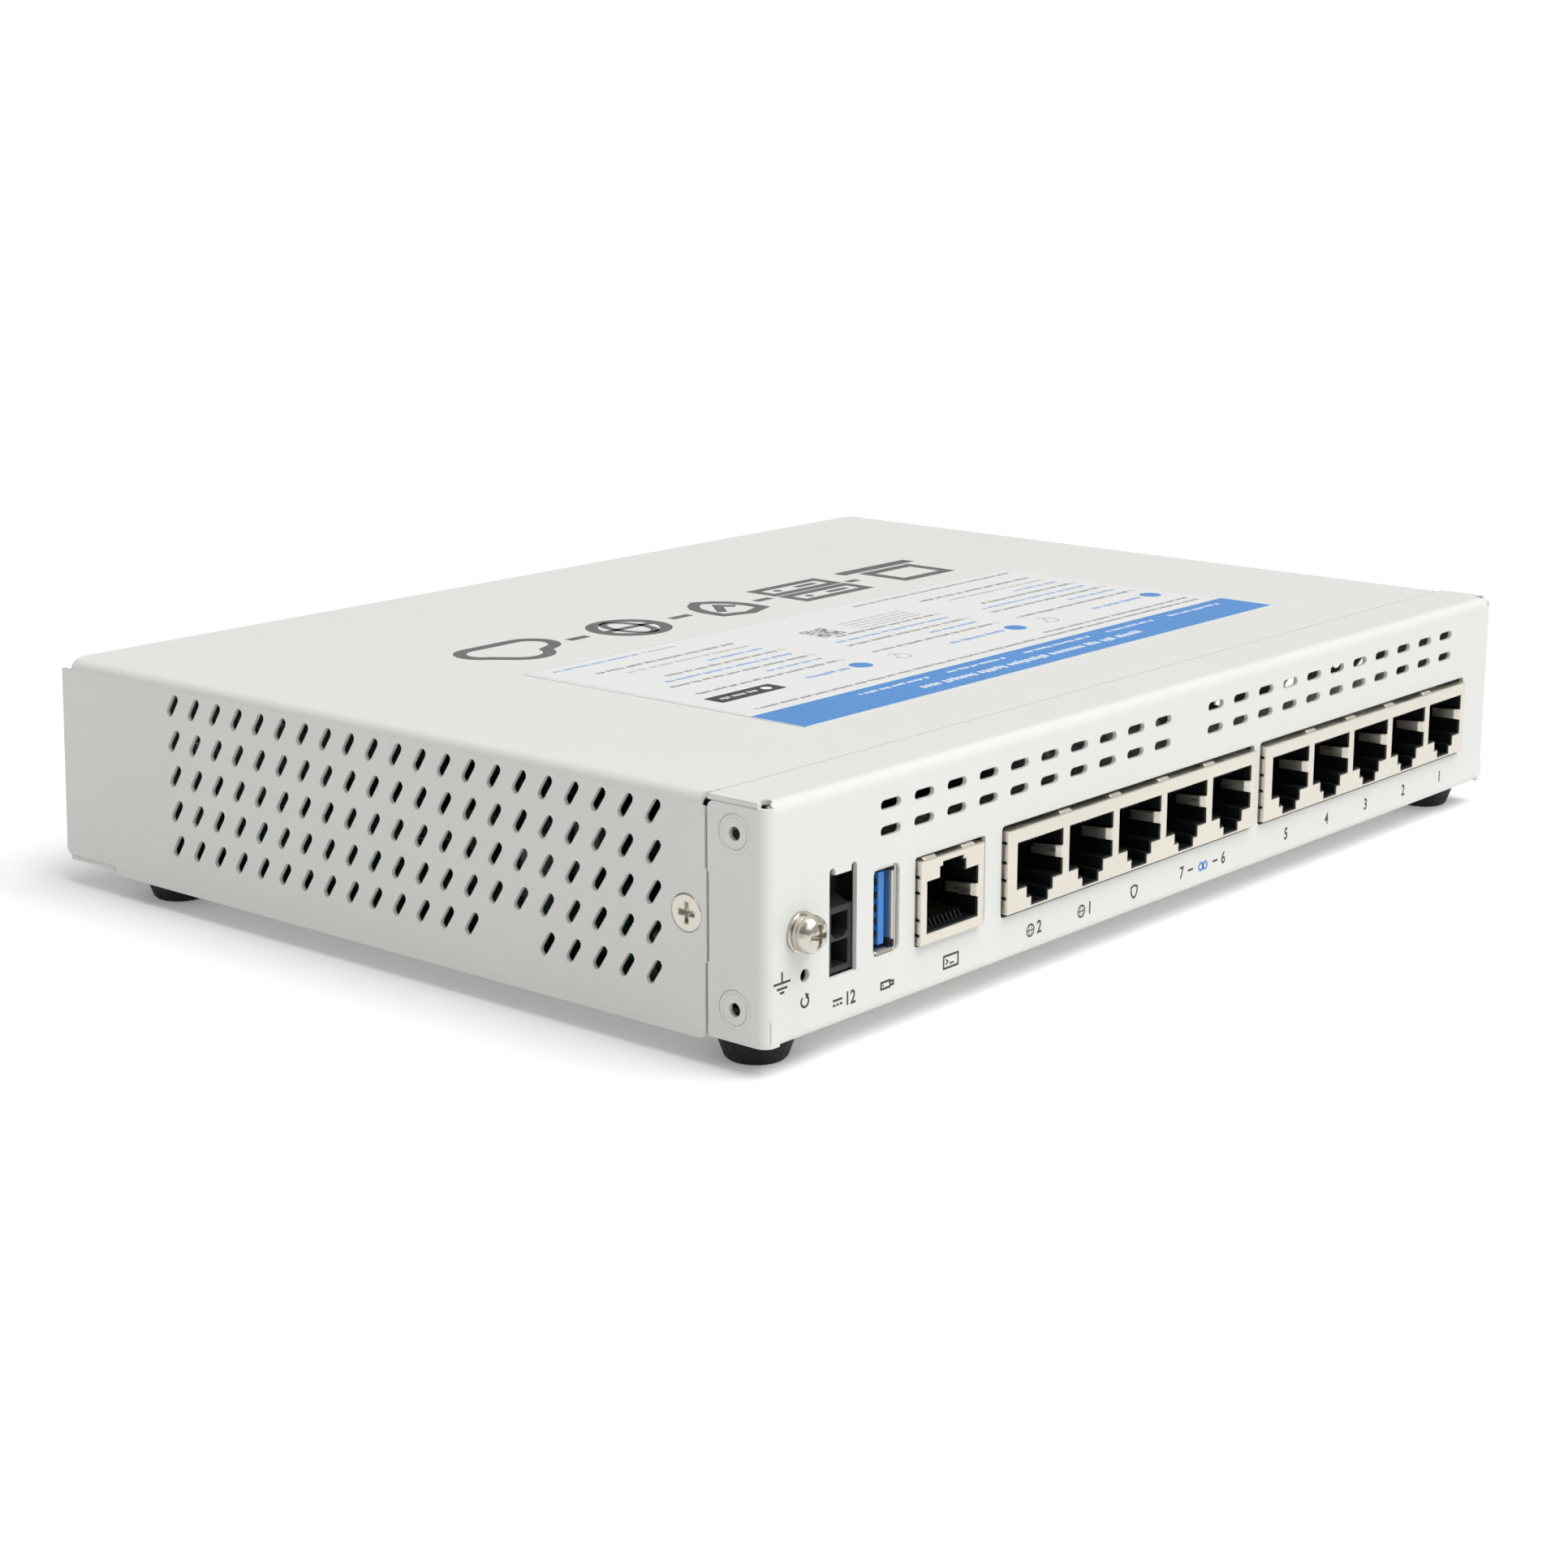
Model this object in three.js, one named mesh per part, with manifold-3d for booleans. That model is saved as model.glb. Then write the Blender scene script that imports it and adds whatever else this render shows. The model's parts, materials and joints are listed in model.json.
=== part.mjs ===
// Desktop network firewall appliance: folded sheet-metal case, connector panel facing -Y,
// status-light face on +Y, feet on the ground at z = 0. Millimetres, +Z up.
import * as THREE from 'three';
import { mergeVertices } from 'three/addons/utils/BufferGeometryUtils.js';
import Module from 'manifold-3d';

const wasm = await Module();
wasm.setup();

// ---------------------------------------------------------------- driving sizes
// Case
const CASE_W = 214.0;         // outside width across the sides
const CASE_D = 160.0;         // connector panel to the foot of the light face
const CASE_H = 35.8;          // underside of the floor to the top face
const SHEET = 0.8;            // sheet thickness of cover and chassis
const BEND = 1.8;             // outside bend radius
const FACE_LEAN = 1.5;        // the light face leans out by this much at its foot
const LIP = 0.65;             // cover sides hang this far below the floor
const LIP_STEP = 13.3;        // length at the light-face end where the sides sit on the floor
const COVER_GAP = 0.25;       // slack between cover edges and chassis
const EAR_LEN = 11.0;         // panel wrapped onto the sides and top
const CORNER_HOLE_R = 0.85;   // relief where the top and side bends meet
const CORNER_HOLE_Y = 1.8;
// Feet
const FOOT_H = 4.5;
const FOOT_R_LOW = 4.75;
const FOOT_R_HIGH = 6.2;
const FOOT_IN_X = 7.9;        // foot centre from the side
const FOOT_Y_NEAR = 8.7;      // foot centre from the connector panel
const FOOT_Y_FAR = CASE_D - 21.0;
// Side vents: leaning slots in a grid
const VENT_COLS = 21;
const VENT_ROWS = 5;
const VENT_PITCH_Y = (CASE_D - 52.26) / (VENT_COLS - 1);
const VENT_PITCH_Z = (CASE_H - 11.8) / (VENT_ROWS - 1);
const VENT_FIRST_Y = 21.4;    // nearest column from the connector panel
const VENT_TOP_Z = CASE_H - 4.3;
const VENT_W = 1.58;
const VENT_SPAN = 2.87;       // between the slot's two end centres
const VENT_LEAN = 33.9;       // degrees from upright
const VENT_SKIP = [5, 6];     // columns left out of the lowest row
// Panel vents
const PVENT_COUNT = 22;
const PVENT_SKIP = 10;
const PVENT_FIRST_X = -79.16;
const PVENT_PITCH = 7.99;
const PVENT_ZS = [CASE_H - 5.0, CASE_H - 8.95];
const PVENT_W = 4.76;
const PVENT_H = 1.55;
// Board
const FLOOR_TOP = SHEET;
const STANDOFF_H = 5.1;
const BOARD_T = 1.6;
const BOARD_X = CASE_W / 2 - 6.0;
const BOARD_Y0 = 2.3;
const BOARD_Y1 = CASE_D - 11.0;
const BOARD_Z = FLOOR_TOP + STANDOFF_H;
const BOARD_TOP = BOARD_Z + BOARD_T;
const SCREW_X = CASE_W / 2 - 13.0;
const SCREW_Y_NEAR = 30.0;
const SCREW_Y_FAR = CASE_D - 19.0;
// Fasteners
const M3_R = 1.45;
const BORE_R = 1.52;
const PAN_R = 2.85;
const PAN_H = 2.4;
const FLAT_T = 0.6;
const FLAT_R = 3.05;
const LOCK_T = 0.9;
const LOCK_R = 2.75;
const GROUND_X = -99.7;
const GROUND_Z = 16.05;
const CSK_R = 2.87;
const CSK_Y = 15.06;          // from the connector panel
const CSK_Z = 17.63;
const EAR_HOLE_R = 1.05;
const EAR_HOLE_Y = 5.95;
const EAR_HOLE_ZS = [CASE_H - 5.0, 5.0];
// Connectors; their heights are taken from the board they are soldered to
const JACK_OUT = 0.9;         // the shielded jacks stand this far out of the panel
const JACK_DEPTH = 21.0;
const SHIELD_T = 0.3;
const PORTS = 5;
const PORT_W = 12.33;
const PORT_PITCH = PORT_W + 1.62;
const PORT_TOP = BOARD_TOP + 11.3;
const PORT_BODY = BOARD_TOP + 3.8;
const PORT_STEP = BOARD_TOP + 2.0;
const PORT_FOOT = BOARD_TOP + 0.55;
const PORT_STEP_W = 7.1;
const PORT_LATCH_W = 4.6;
const GANG_Z0 = BOARD_TOP + 0.2;
const GANG_Z1 = BOARD_TOP + 13.5;
const GANG_LEFT = 2.4;        // shield edge to the first port
const GANG_RIGHT = 1.35;
const GANG_GAP = 3.12;        // between the two modules
const GANG_A_X = -48.6;       // left edge of the first port of the left module
const GANG_W = GANG_LEFT + GANG_RIGHT + PORT_PITCH * (PORTS - 1) + PORT_W;
const GANG_B_X = GANG_A_X + GANG_W + GANG_GAP;
const CONSOLE_X = -65.0;
const CONSOLE_W = 15.6;
const CONSOLE_Z0 = BOARD_TOP + 0.25;
const CONSOLE_Z1 = BOARD_TOP + 13.25;
const USB_X = -80.02;
const USB_W = 5.7;
const USB_H = 13.1;
const USB_Z = BOARD_TOP + 7.36;
const DC_X = -90.06;
const DC_W = 5.8;
const DC_Z0 = BOARD_TOP + 0.25;
const DC_PITCH = 4.2;
// Status lights
const LIGHT_Z = BOARD_TOP + 7.5;
// Reset button
const RESET_X = -98.63;
const RESET_Z = BOARD_TOP + 1.81;
const RESET_HOLE_R = 1.0;
const RESET_TRAVEL = 0.35;
// Label
const LABEL_X = [-66.1, 71.4];
const LABEL_Y = [27.1, 89.1];
const LABEL_T = 0.1;

// ---------------------------------------------------------------- derived places
const HALF = CASE_W / 2;
const GROUND_STACK = FLAT_T + LOCK_T + PAN_H;
const PANEL = -(CASE_D + GROUND_STACK) / 2 + GROUND_STACK;   // outer face of the panel
const Y = (d) => PANEL + d;                                  // distance behind the panel
const Z = (h) => FOOT_H + h;                                 // height above the floor sheet
const FACE_TOP = CASE_D - FACE_LEAN;
const IN_SIDE = HALF - SHEET - COVER_GAP;                    // outer face of the chassis flanges

// ---------------------------------------------------------------- helpers
const group = new THREE.Group();

function fixWinding(geometry) {
  const g = geometry.index ? geometry.toNonIndexed() : geometry.clone();
  const p = g.attributes.position;
  let volume = 0;
  for (let i = 0; i < p.count; i += 3) {
    const a = new THREE.Vector3().fromBufferAttribute(p, i);
    const b = new THREE.Vector3().fromBufferAttribute(p, i + 1);
    const c = new THREE.Vector3().fromBufferAttribute(p, i + 2);
    volume += a.dot(b.cross(c));
  }
  if (volume < 0) {
    for (let i = 0; i < p.count; i += 3) {
      const b = [p.getX(i + 1), p.getY(i + 1), p.getZ(i + 1)];
      p.setXYZ(i + 1, p.getX(i + 2), p.getY(i + 2), p.getZ(i + 2));
      p.setXYZ(i + 2, ...b);
    }
  }
  return g;
}

function solid(geometry) {
  const g = fixWinding(geometry);
  for (const name of Object.keys(g.attributes)) {
    if (name !== 'position') g.deleteAttribute(name);
  }
  const m = mergeVertices(g, 1e-4);
  const mesh = new wasm.Mesh({
    numProp: 3,
    vertProperties: new Float32Array(m.attributes.position.array),
    triVerts: new Uint32Array(m.index.array),
  });
  mesh.merge();
  return new wasm.Manifold(mesh);
}

const add = (...parts) => parts.reduce((a, b) => a.add(b));
const cut = (body, ...tools) => tools.reduce((a, b) => a.subtract(b), body);

function box(x0, x1, y0, y1, z0, z1) {
  const g = new THREE.BoxGeometry(x1 - x0, y1 - y0, z1 - z0);
  g.translate((x0 + x1) / 2, (y0 + y1) / 2, (z0 + z1) / 2);
  return solid(g);
}

function outline(points) {
  return new THREE.Shape(points.map(([u, v]) => new THREE.Vector2(u, v)));
}

function extrude(points, depth) {
  return new THREE.ExtrudeGeometry(outline(points), { depth, bevelEnabled: false });
}

// Prisms: outline given in (x, z), (y, z) or (x, y); drawn out along the remaining axis.
function prismY(points, y0, y1) {
  const g = extrude(points, y1 - y0);
  g.rotateX(Math.PI / 2);
  g.translate(0, y1, 0);
  return solid(g);
}

function prismX(points, x0, x1) {
  const g = extrude(points, x1 - x0);
  g.rotateX(Math.PI / 2);
  g.rotateZ(Math.PI / 2);
  g.translate(x0, 0, 0);
  return solid(g);
}

function prismZ(points, z0, z1) {
  const g = extrude(points, z1 - z0);
  g.translate(0, 0, z0);
  return solid(g);
}

// Turned part: profile [radius, height] along the named axis starting at the origin point.
function turned(profile, axis, at, segments = 20) {
  const g = new THREE.LatheGeometry(profile.map(([r, h]) => new THREE.Vector2(r, h)), segments);
  if (axis === 'z') g.rotateX(Math.PI / 2);
  if (axis === '-z') g.rotateX(-Math.PI / 2);
  if (axis === 'y') g.rotateY(0.0001);
  if (axis === '-y') g.rotateX(Math.PI);
  if (axis === 'x') g.rotateZ(-Math.PI / 2);
  if (axis === '-x') g.rotateZ(Math.PI / 2);
  g.translate(...at);
  return solid(g);
}

function rod(radius, length, axis, at, segments = 16) {
  return turned([[0, 0], [radius, 0], [radius, length], [0, length]], axis, at, segments);
}

function ring(rIn, rOut, length, axis, at, segments = 20) {
  return turned([[rIn, 0], [rOut, 0], [rOut, length], [rIn, length], [rIn, 0]],
    axis, at, segments);
}

function arc(cx, cy, r, from, to, steps) {
  const points = [];
  for (let i = 0; i <= steps; i += 1) {
    const a = (from + ((to - from) * i) / steps) * (Math.PI / 180);
    points.push([cx + r * Math.cos(a), cy + r * Math.sin(a)]);
  }
  return points;
}

function roundedRect(x0, x1, y0, y1, r, steps = 4) {
  return [
    ...arc(x1 - r, y0 + r, r, -90, 0, steps),
    ...arc(x1 - r, y1 - r, r, 0, 90, steps),
    ...arc(x0 + r, y1 - r, r, 90, 180, steps),
    ...arc(x0 + r, y0 + r, r, 180, 270, steps),
  ];
}

// Slot with round ends about (cx, cy), span between end centres, turned by angle degrees.
function slotOutline(cx, cy, span, width, angle, steps = 2) {
  const local = [
    ...arc(span / 2, 0, width / 2, -90, 90, steps),
    ...arc(-span / 2, 0, width / 2, 90, 270, steps),
  ];
  const a = angle * (Math.PI / 180);
  return local.map(([u, v]) => [
    cx + u * Math.cos(a) - v * Math.sin(a),
    cy + u * Math.sin(a) + v * Math.cos(a),
  ]);
}

function put(name, body, look) {
  const mesh = body.getMesh();
  const g = new THREE.BufferGeometry();
  g.setAttribute('position', new THREE.BufferAttribute(new Float32Array(mesh.vertProperties), 3));
  g.setIndex(new THREE.BufferAttribute(new Uint32Array(mesh.triVerts), 1));
  const flat = g.toNonIndexed();
  flat.computeVertexNormals();
  const [color, roughness, metalness] = look;
  const out = new THREE.Mesh(
    flat,
    new THREE.MeshStandardMaterial({ color, roughness, metalness }),
  );
  out.name = name;
  group.add(out);
}

const PAINT = [0xe9eae5, 0.55, 0.05];
const NICKEL = [0xd6d0c2, 0.3, 1.0];
const STEEL = [0xc9c8c2, 0.25, 1.0];
const BLACK = [0x17181a, 0.5, 0.0];
const GREY = [0x4b4d50, 0.6, 0.0];
const RUBBER = [0x1c1e20, 0.85, 0.0];
const BLUE = [0x4a90d2, 0.4, 0.0];
const GREEN = [0x1d5a3c, 0.45, 0.0];
const BRASS = [0xc9a456, 0.3, 1.0];
const ALU = [0xb9bbbd, 0.4, 1.0];
const CHIP = [0x202226, 0.45, 0.0];
const CLEAR = [0xdfe8ee, 0.15, 0.0];
const PAPER = [0xf4f4f2, 0.6, 0.0];
const PAD = [0x9fb0b8, 0.8, 0.0];

const crossRecess = (axis, x, y, z, reach, depth, thick = 0.62) => {
  const r = reach;
  const t = thick / 2;
  if (axis === 'y') {
    return add(box(x - r, x + r, y, y + depth, z - t, z + t),
      box(x - t, x + t, y, y + depth, z - r, z + r));
  }
  if (axis === 'z') {
    return add(box(x - r, x + r, y - t, y + t, z, z + depth),
      box(x - t, x + t, y - r, y + r, z, z + depth));
  }
  return add(box(x, x + depth, y - r, y + r, z - t, z + t),
    box(x, x + depth, y - t, y + t, z - r, z + r));
};

// ---------------------------------------------------------------- top cover
{
  // Inverted U: sides and top in one fold.
  const x = HALF;
  const low = Z(-LIP);
  const high = Z(CASE_H);
  const profile = [
    [-x, low],
    [-x + SHEET, low],
    ...arc(-x + BEND, high - BEND, BEND - SHEET, 180, 90, 4),
    ...arc(x - BEND, high - BEND, BEND - SHEET, 90, 0, 4),
    [x - SHEET, low],
    [x, low],
    ...arc(x - BEND, high - BEND, BEND, 0, 90, 5),
    ...arc(-x + BEND, high - BEND, BEND, 90, 180, 5),
  ];
  const seam = EAR_LEN + COVER_GAP;
  let cover = prismY(profile, Y(seam), Y(CASE_D + 1));

  // Leaning front edge of the sides.
  const lean = FACE_LEAN / (CASE_H + LIP);
  const frontAt = (z) => CASE_D - lean * (z + LIP);
  const ahead = [
    [Y(frontAt(-LIP - 1)), Z(-LIP - 1)],
    [Y(CASE_D + 5), Z(-LIP - 1)],
    [Y(CASE_D + 5), Z(CASE_H + 1)],
    [Y(frontAt(CASE_H + 1)), Z(CASE_H + 1)],
  ];
  // The top stops short of the light face, where the face's own bend takes over.
  const topStop = FACE_TOP - BEND;
  cover = cut(cover,
    prismX(ahead, -x - 1, x + 1),
    box(-x + BEND, x - BEND, Y(topStop), Y(CASE_D + 5), Z(CASE_H - 4), Z(CASE_H + 1)));

  // Light face: short top, bend, leaning face.
  const tilt = Math.atan(lean) * (180 / Math.PI);
  const bendC = [Y(topStop), Z(CASE_H - BEND)];
  const dir = [Math.sin(tilt * Math.PI / 180), -Math.cos(tilt * Math.PI / 180)];
  const outTop = [bendC[0] + BEND * Math.cos(tilt * Math.PI / 180),
    bendC[1] + BEND * Math.sin(tilt * Math.PI / 180)];
  const inTop = [bendC[0] + (BEND - SHEET) * Math.cos(tilt * Math.PI / 180),
    bendC[1] + (BEND - SHEET) * Math.sin(tilt * Math.PI / 180)];
  const faceLow = SHEET + 0.08;
  const reachOut = (outTop[1] - Z(faceLow)) / -dir[1];
  const reachIn = (inTop[1] - Z(faceLow)) / -dir[1];
  const faceProfile = [
    [Y(topStop - 0.5), Z(CASE_H - SHEET)],
    ...arc(bendC[0], bendC[1], BEND - SHEET, 90, tilt, 4),
    [inTop[0] + dir[0] * reachIn, Z(faceLow)],
    [outTop[0] + dir[0] * reachOut, Z(faceLow)],
    ...arc(bendC[0], bendC[1], BEND, tilt, 90, 5),
    [Y(topStop - 0.5), Z(CASE_H)],
  ];
  const relief = 3.2;
  const below = 2.4;
  const platePoints = [
    [inTop[0] + dir[0] * below, inTop[1] + dir[1] * below],
    [inTop[0] + dir[0] * reachIn, Z(faceLow)],
    [outTop[0] + dir[0] * reachOut, Z(faceLow)],
    [outTop[0] + dir[0] * below, outTop[1] + dir[1] * below],
  ];
  // Below the bend the face runs out to the sides with a hairline gap.
  cover = add(cover, prismX(faceProfile, -x + relief, x - relief),
    prismX(platePoints, -x + SHEET + 0.05, x - SHEET - 0.05));
  cover = cut(cover,
    turned([[0, 0], [relief, 0], [relief, 8], [0, 8]], 'z',
      [-x + 0.6, Y(FACE_TOP + 0.6), Z(CASE_H - BEND)], 20),
    turned([[0, 0], [relief, 0], [relief, 8], [0, 8]], 'z',
      [x - 0.6, Y(FACE_TOP + 0.6), Z(CASE_H - BEND)], 20));

  // Near the light face the sides stop on the floor sheet, with a rounded corner.
  const low2 = SHEET + 0.05;
  cover = cut(cover,
    box(-x - 1, x + 1, Y(CASE_D - LIP_STEP), Y(CASE_D + 5), Z(-LIP - 1), Z(low2)));
  for (const xs of [[-x - 1, -x + SHEET + 0.02], [x - SHEET - 0.02, x + 1]]) {
    const cy = Y(frontAt(low2) - 1.3);
    cover = cut(cover, prismX([...arc(cy, Z(low2 + 1.3), 1.3, -90, 0, 4),
      [cy + 3, Z(low2 + 1.3)], [cy + 3, Z(low2 - 1)], [cy, Z(low2 - 1)]], ...xs));
  }

  // Rear edge of the sides: full height except for a shallow tongue in the middle.
  for (const side of [-1, 1]) {
    const xs = side < 0 ? [-x - 1, -x + 3] : [x - 3, x + 1];
    cover = cut(cover,
      prismX([[Y(seam - 0.5), Z(24.6)], [Y(seam + 0.25), Z(24.9)], [Y(seam + 0.25), Z(40)],
        [Y(seam - 0.5), Z(40)]], ...xs),
      prismX([[Y(seam - 0.5), Z(-5)], [Y(seam + 1.6), Z(-5)],
        ...arc(Y(seam + 1.45), Z(-LIP + 1.2), 1.2, -90, -180, 4),
        [Y(seam + 0.25), Z(10.8)], [Y(seam - 0.5), Z(11.1)]], ...xs),
      turned([[0, 0], [1.3, 0], [1.3, 4], [0, 4]], 'z',
        [side * (x - 0.2), Y(seam), Z(CASE_H - BEND - 0.3)], 16));
  }

  // Vent slots through both sides, cut as one set of tools.
  const tools = [];
  for (let row = 0; row < VENT_ROWS; row += 1) {
    for (let col = 0; col < VENT_COLS; col += 1) {
      if (row === VENT_ROWS - 1 && VENT_SKIP.includes(col)) continue;
      const cy = Y(VENT_FIRST_Y + VENT_PITCH_Y * col);
      const cz = Z(VENT_TOP_Z - VENT_PITCH_Z * row);
      const ring2 = slotOutline(cy, cz, VENT_SPAN, VENT_W, 90 + VENT_LEAN, 4);
      tools.push(prismX(ring2, -x - 1, -x + SHEET + 1), prismX(ring2, x - SHEET - 1, x + 1));
    }
  }
  cover = cover.subtract(wasm.Manifold.union(tools));

  // Countersunk screw seats.
  const seat = (axis, at) => turned([[0, -0.5], [CSK_R + 0.06, -0.5], [CSK_R + 0.06, 0.14],
    [CSK_R + 0.2 - SHEET, SHEET], [CSK_R + 0.2 - SHEET, SHEET + 0.6], [0, SHEET + 0.6]],
  axis, at, 24);
  cover = cut(cover,
    seat('x', [-x, Y(CSK_Y), Z(CSK_Z)]),
    seat('-x', [x, Y(CSK_Y), Z(CSK_Z)]));

  // Holes for the status lights.
  const lights = [];
  for (let i = 0; i < 13; i += 1) {
    const lx = i < 3 ? -78 + i * 9 : -30 + (i - 3) * 9;
    lights.push(box(lx - 1.3, lx + 1.3, Y(CASE_D - 8), Y(CASE_D + 5), Z(LIGHT_Z - 0.9),
      Z(LIGHT_Z + 0.9)));
  }
  cover = cover.subtract(wasm.Manifold.union(lights));
  put('top_cover', cover, PAINT);
}

// ---------------------------------------------------------------- chassis
{
  const x = HALF;
  const earTop = CASE_H - SHEET - 0.02;
  // Panel and ears: horizontal U with rounded corners.
  const plan = [
    [-x, Y(EAR_LEN)],
    ...arc(-x + BEND, Y(BEND), BEND, 180, 270, 5),
    ...arc(x - BEND, Y(BEND), BEND, 270, 360, 5),
    [x, Y(EAR_LEN)],
    [x - SHEET, Y(EAR_LEN)],
    ...arc(x - BEND, Y(BEND), BEND - SHEET, 0, -90, 4),
    ...arc(-x + BEND, Y(BEND), BEND - SHEET, 270, 180, 4),
    [-x + SHEET, Y(EAR_LEN)],
  ];
  let chassis = prismZ(plan, Z(0.1), Z(earTop));

  // Rounded top corner and shallow relief on the free edge of each ear.
  for (const side of [-1, 1]) {
    const xs = side < 0 ? [-x - 1, -x + 2] : [x - 2, x + 1];
    chassis = cut(chassis,
      prismX([[Y(EAR_LEN - 1.2), Z(earTop + 1)], [Y(EAR_LEN - 1.2), Z(earTop)],
        ...arc(Y(EAR_LEN - 1.2), Z(earTop - 1.2), 1.2, 90, 0, 4),
        [Y(EAR_LEN + 1), Z(earTop - 1.2)], [Y(EAR_LEN + 1), Z(earTop + 1)]], ...xs),
      prismX([[Y(EAR_LEN - 0.25), Z(11.3)], [Y(EAR_LEN + 1), Z(11)], [Y(EAR_LEN + 1), Z(24.7)],
        [Y(EAR_LEN - 0.25), Z(24.4)]], ...xs));
  }

  // Rear flange on top and floor, both bent from the panel.
  const bendTrim = 2.9;
  const upper = [
    [Y(0), Z(CASE_H - 5.8)],
    [Y(SHEET), Z(CASE_H - 5.8)],
    ...arc(Y(BEND), Z(CASE_H - BEND), BEND - SHEET, 180, 90, 4),
    [Y(EAR_LEN), Z(CASE_H - SHEET)],
    [Y(EAR_LEN), Z(CASE_H)],
    ...arc(Y(BEND), Z(CASE_H - BEND), BEND, 90, 180, 5),
  ];
  // The panel's own top is cleared where the bend takes over.
  chassis = cut(chassis,
    box(-x + BEND, x - BEND, Y(-1), Y(SHEET + 0.001), Z(CASE_H - 3.8),
      Z(CASE_H + 1)));
  chassis = add(chassis, prismX(upper, -x + BEND - 0.01, x - BEND + 0.01));
  const flangeEnd = box(-x + 0.1, x - 0.1, Y(CORNER_HOLE_Y), Y(EAR_LEN), Z(CASE_H - SHEET),
    Z(CASE_H));
  const flangeSide = (side) => turned(
    [[0, 0], [CORNER_HOLE_R, 0], [CORNER_HOLE_R, 6], [0, 6]], 'z',
    [side * (x - 1.9), Y(CORNER_HOLE_Y), Z(CASE_H - SHEET)], 20);
  chassis = cut(add(chassis, flangeEnd), flangeSide(-1), flangeSide(1));

  const lower = [
    [Y(0), Z(4)],
    ...arc(Y(1.2), Z(1.2), 1.2, 180, 270, 4),
    [Y(CASE_D - 4), Z(0)],
    [Y(CASE_D - 4), Z(SHEET)],
    ...arc(Y(1.2), Z(1.2), 1.2 - SHEET, 270, 180, 3),
    [Y(SHEET), Z(4)],
  ];
  chassis = cut(chassis, box(-x + bendTrim, x - bendTrim, Y(-1), Y(SHEET + 0.001), Z(-1), Z(3)));
  chassis = add(chassis, prismX(lower, -IN_SIDE, IN_SIDE));
  // The bottom bend does not run under the ears.
  chassis = cut(chassis,
    box(-x - 1, -x + bendTrim, Y(-1), Y(1.3), Z(-1), Z(0.1)),
    box(x - bendTrim, x + 1, Y(-1), Y(1.3), Z(-1), Z(0.1)));

  // Low side flanges, tall tabs behind the cover screws, low flange at the light face.
  for (const side of [-1, 1]) {
    const a = side * IN_SIDE;
    const b = side * (IN_SIDE - SHEET);
    const lo = Math.min(a, b);
    const hi = Math.max(a, b);
    chassis = add(chassis,
      box(lo, hi, Y(EAR_LEN + 0.6), Y(CASE_D - 4), Z(0), Z(4.6)),
      box(lo, hi, Y(CSK_Y - 3.8), Y(CSK_Y + 3.2), Z(0), Z(CSK_Z + 5)));
    chassis = cut(chassis, rod(CSK_R - SHEET + 0.05, 3, 'x',
      [lo - 1, Y(CSK_Y), Z(CSK_Z)], 24));
  }
  chassis = add(chassis,
    box(-IN_SIDE, IN_SIDE, Y(CASE_D - 4 - SHEET), Y(CASE_D - 4), Z(0), Z(7)));
  // At the light face the floor widens to carry the lower edges of the sides.
  chassis = add(chassis,
    box(-x + 0.15, x - 0.15, Y(CASE_D - LIP_STEP + 0.3), Y(CASE_D - 1.0), Z(0), Z(SHEET)));

  // Connector cut-outs.
  const through = (points) => prismY(points, Y(-1), Y(SHEET + 1));
  const rect = (x0, x1, z0, z1, r = 0.35) => through(roundedRect(x0, x1, Z(z0), Z(z1), r, 2));
  const gangCut = (first) => rect(first - GANG_LEFT - 0.5, first - GANG_LEFT + GANG_W + 0.7,
    GANG_Z0 - 0.57, GANG_Z1 + 0.75, 0.6);
  const dcTop = DC_Z0 + 14.89;
  const dcLobe = 0.62;
  const dc = [DC_X - 3.11, DC_X + 3.11];
  chassis = cut(chassis,
    gangCut(GANG_A_X),
    gangCut(GANG_B_X),
    rect(CONSOLE_X - 8.16, CONSOLE_X + 9.17, CONSOLE_Z0 - 0.28, CONSOLE_Z1 + 0.55, 0.4),
    rect(USB_X - 3.05, USB_X + 3.05, USB_Z - 6.71, USB_Z + 6.71, 0.9),
    rect(dc[0], dc[1], DC_Z0 - 0.36, dcTop, 0.1),
    through(roundedRect(dc[0], dc[0] + 2 * dcLobe, Z(dcTop - 2.6), Z(dcTop + 1.14),
      dcLobe - 0.01, 4)),
    through(roundedRect(dc[1] - 2 * dcLobe, dc[1], Z(dcTop - 2.6), Z(dcTop + 1.14),
      dcLobe - 0.01, 4)),
    rod(RESET_HOLE_R, 4, 'y', [RESET_X, Y(-1), Z(RESET_Z)], 20),
    rod(1.65, 4, 'y', [GROUND_X, Y(-1), Z(GROUND_Z)], 20));
  const pvents = [];
  for (let i = 0; i < PVENT_COUNT; i += 1) {
    if (i === PVENT_SKIP) continue;
    for (const z of PVENT_ZS) {
      pvents.push(through(slotOutline(PVENT_FIRST_X + PVENT_PITCH * i, Z(z),
        PVENT_W - PVENT_H, PVENT_H, 0, 6)));
    }
  }
  chassis = chassis.subtract(wasm.Manifold.union(pvents));

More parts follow.
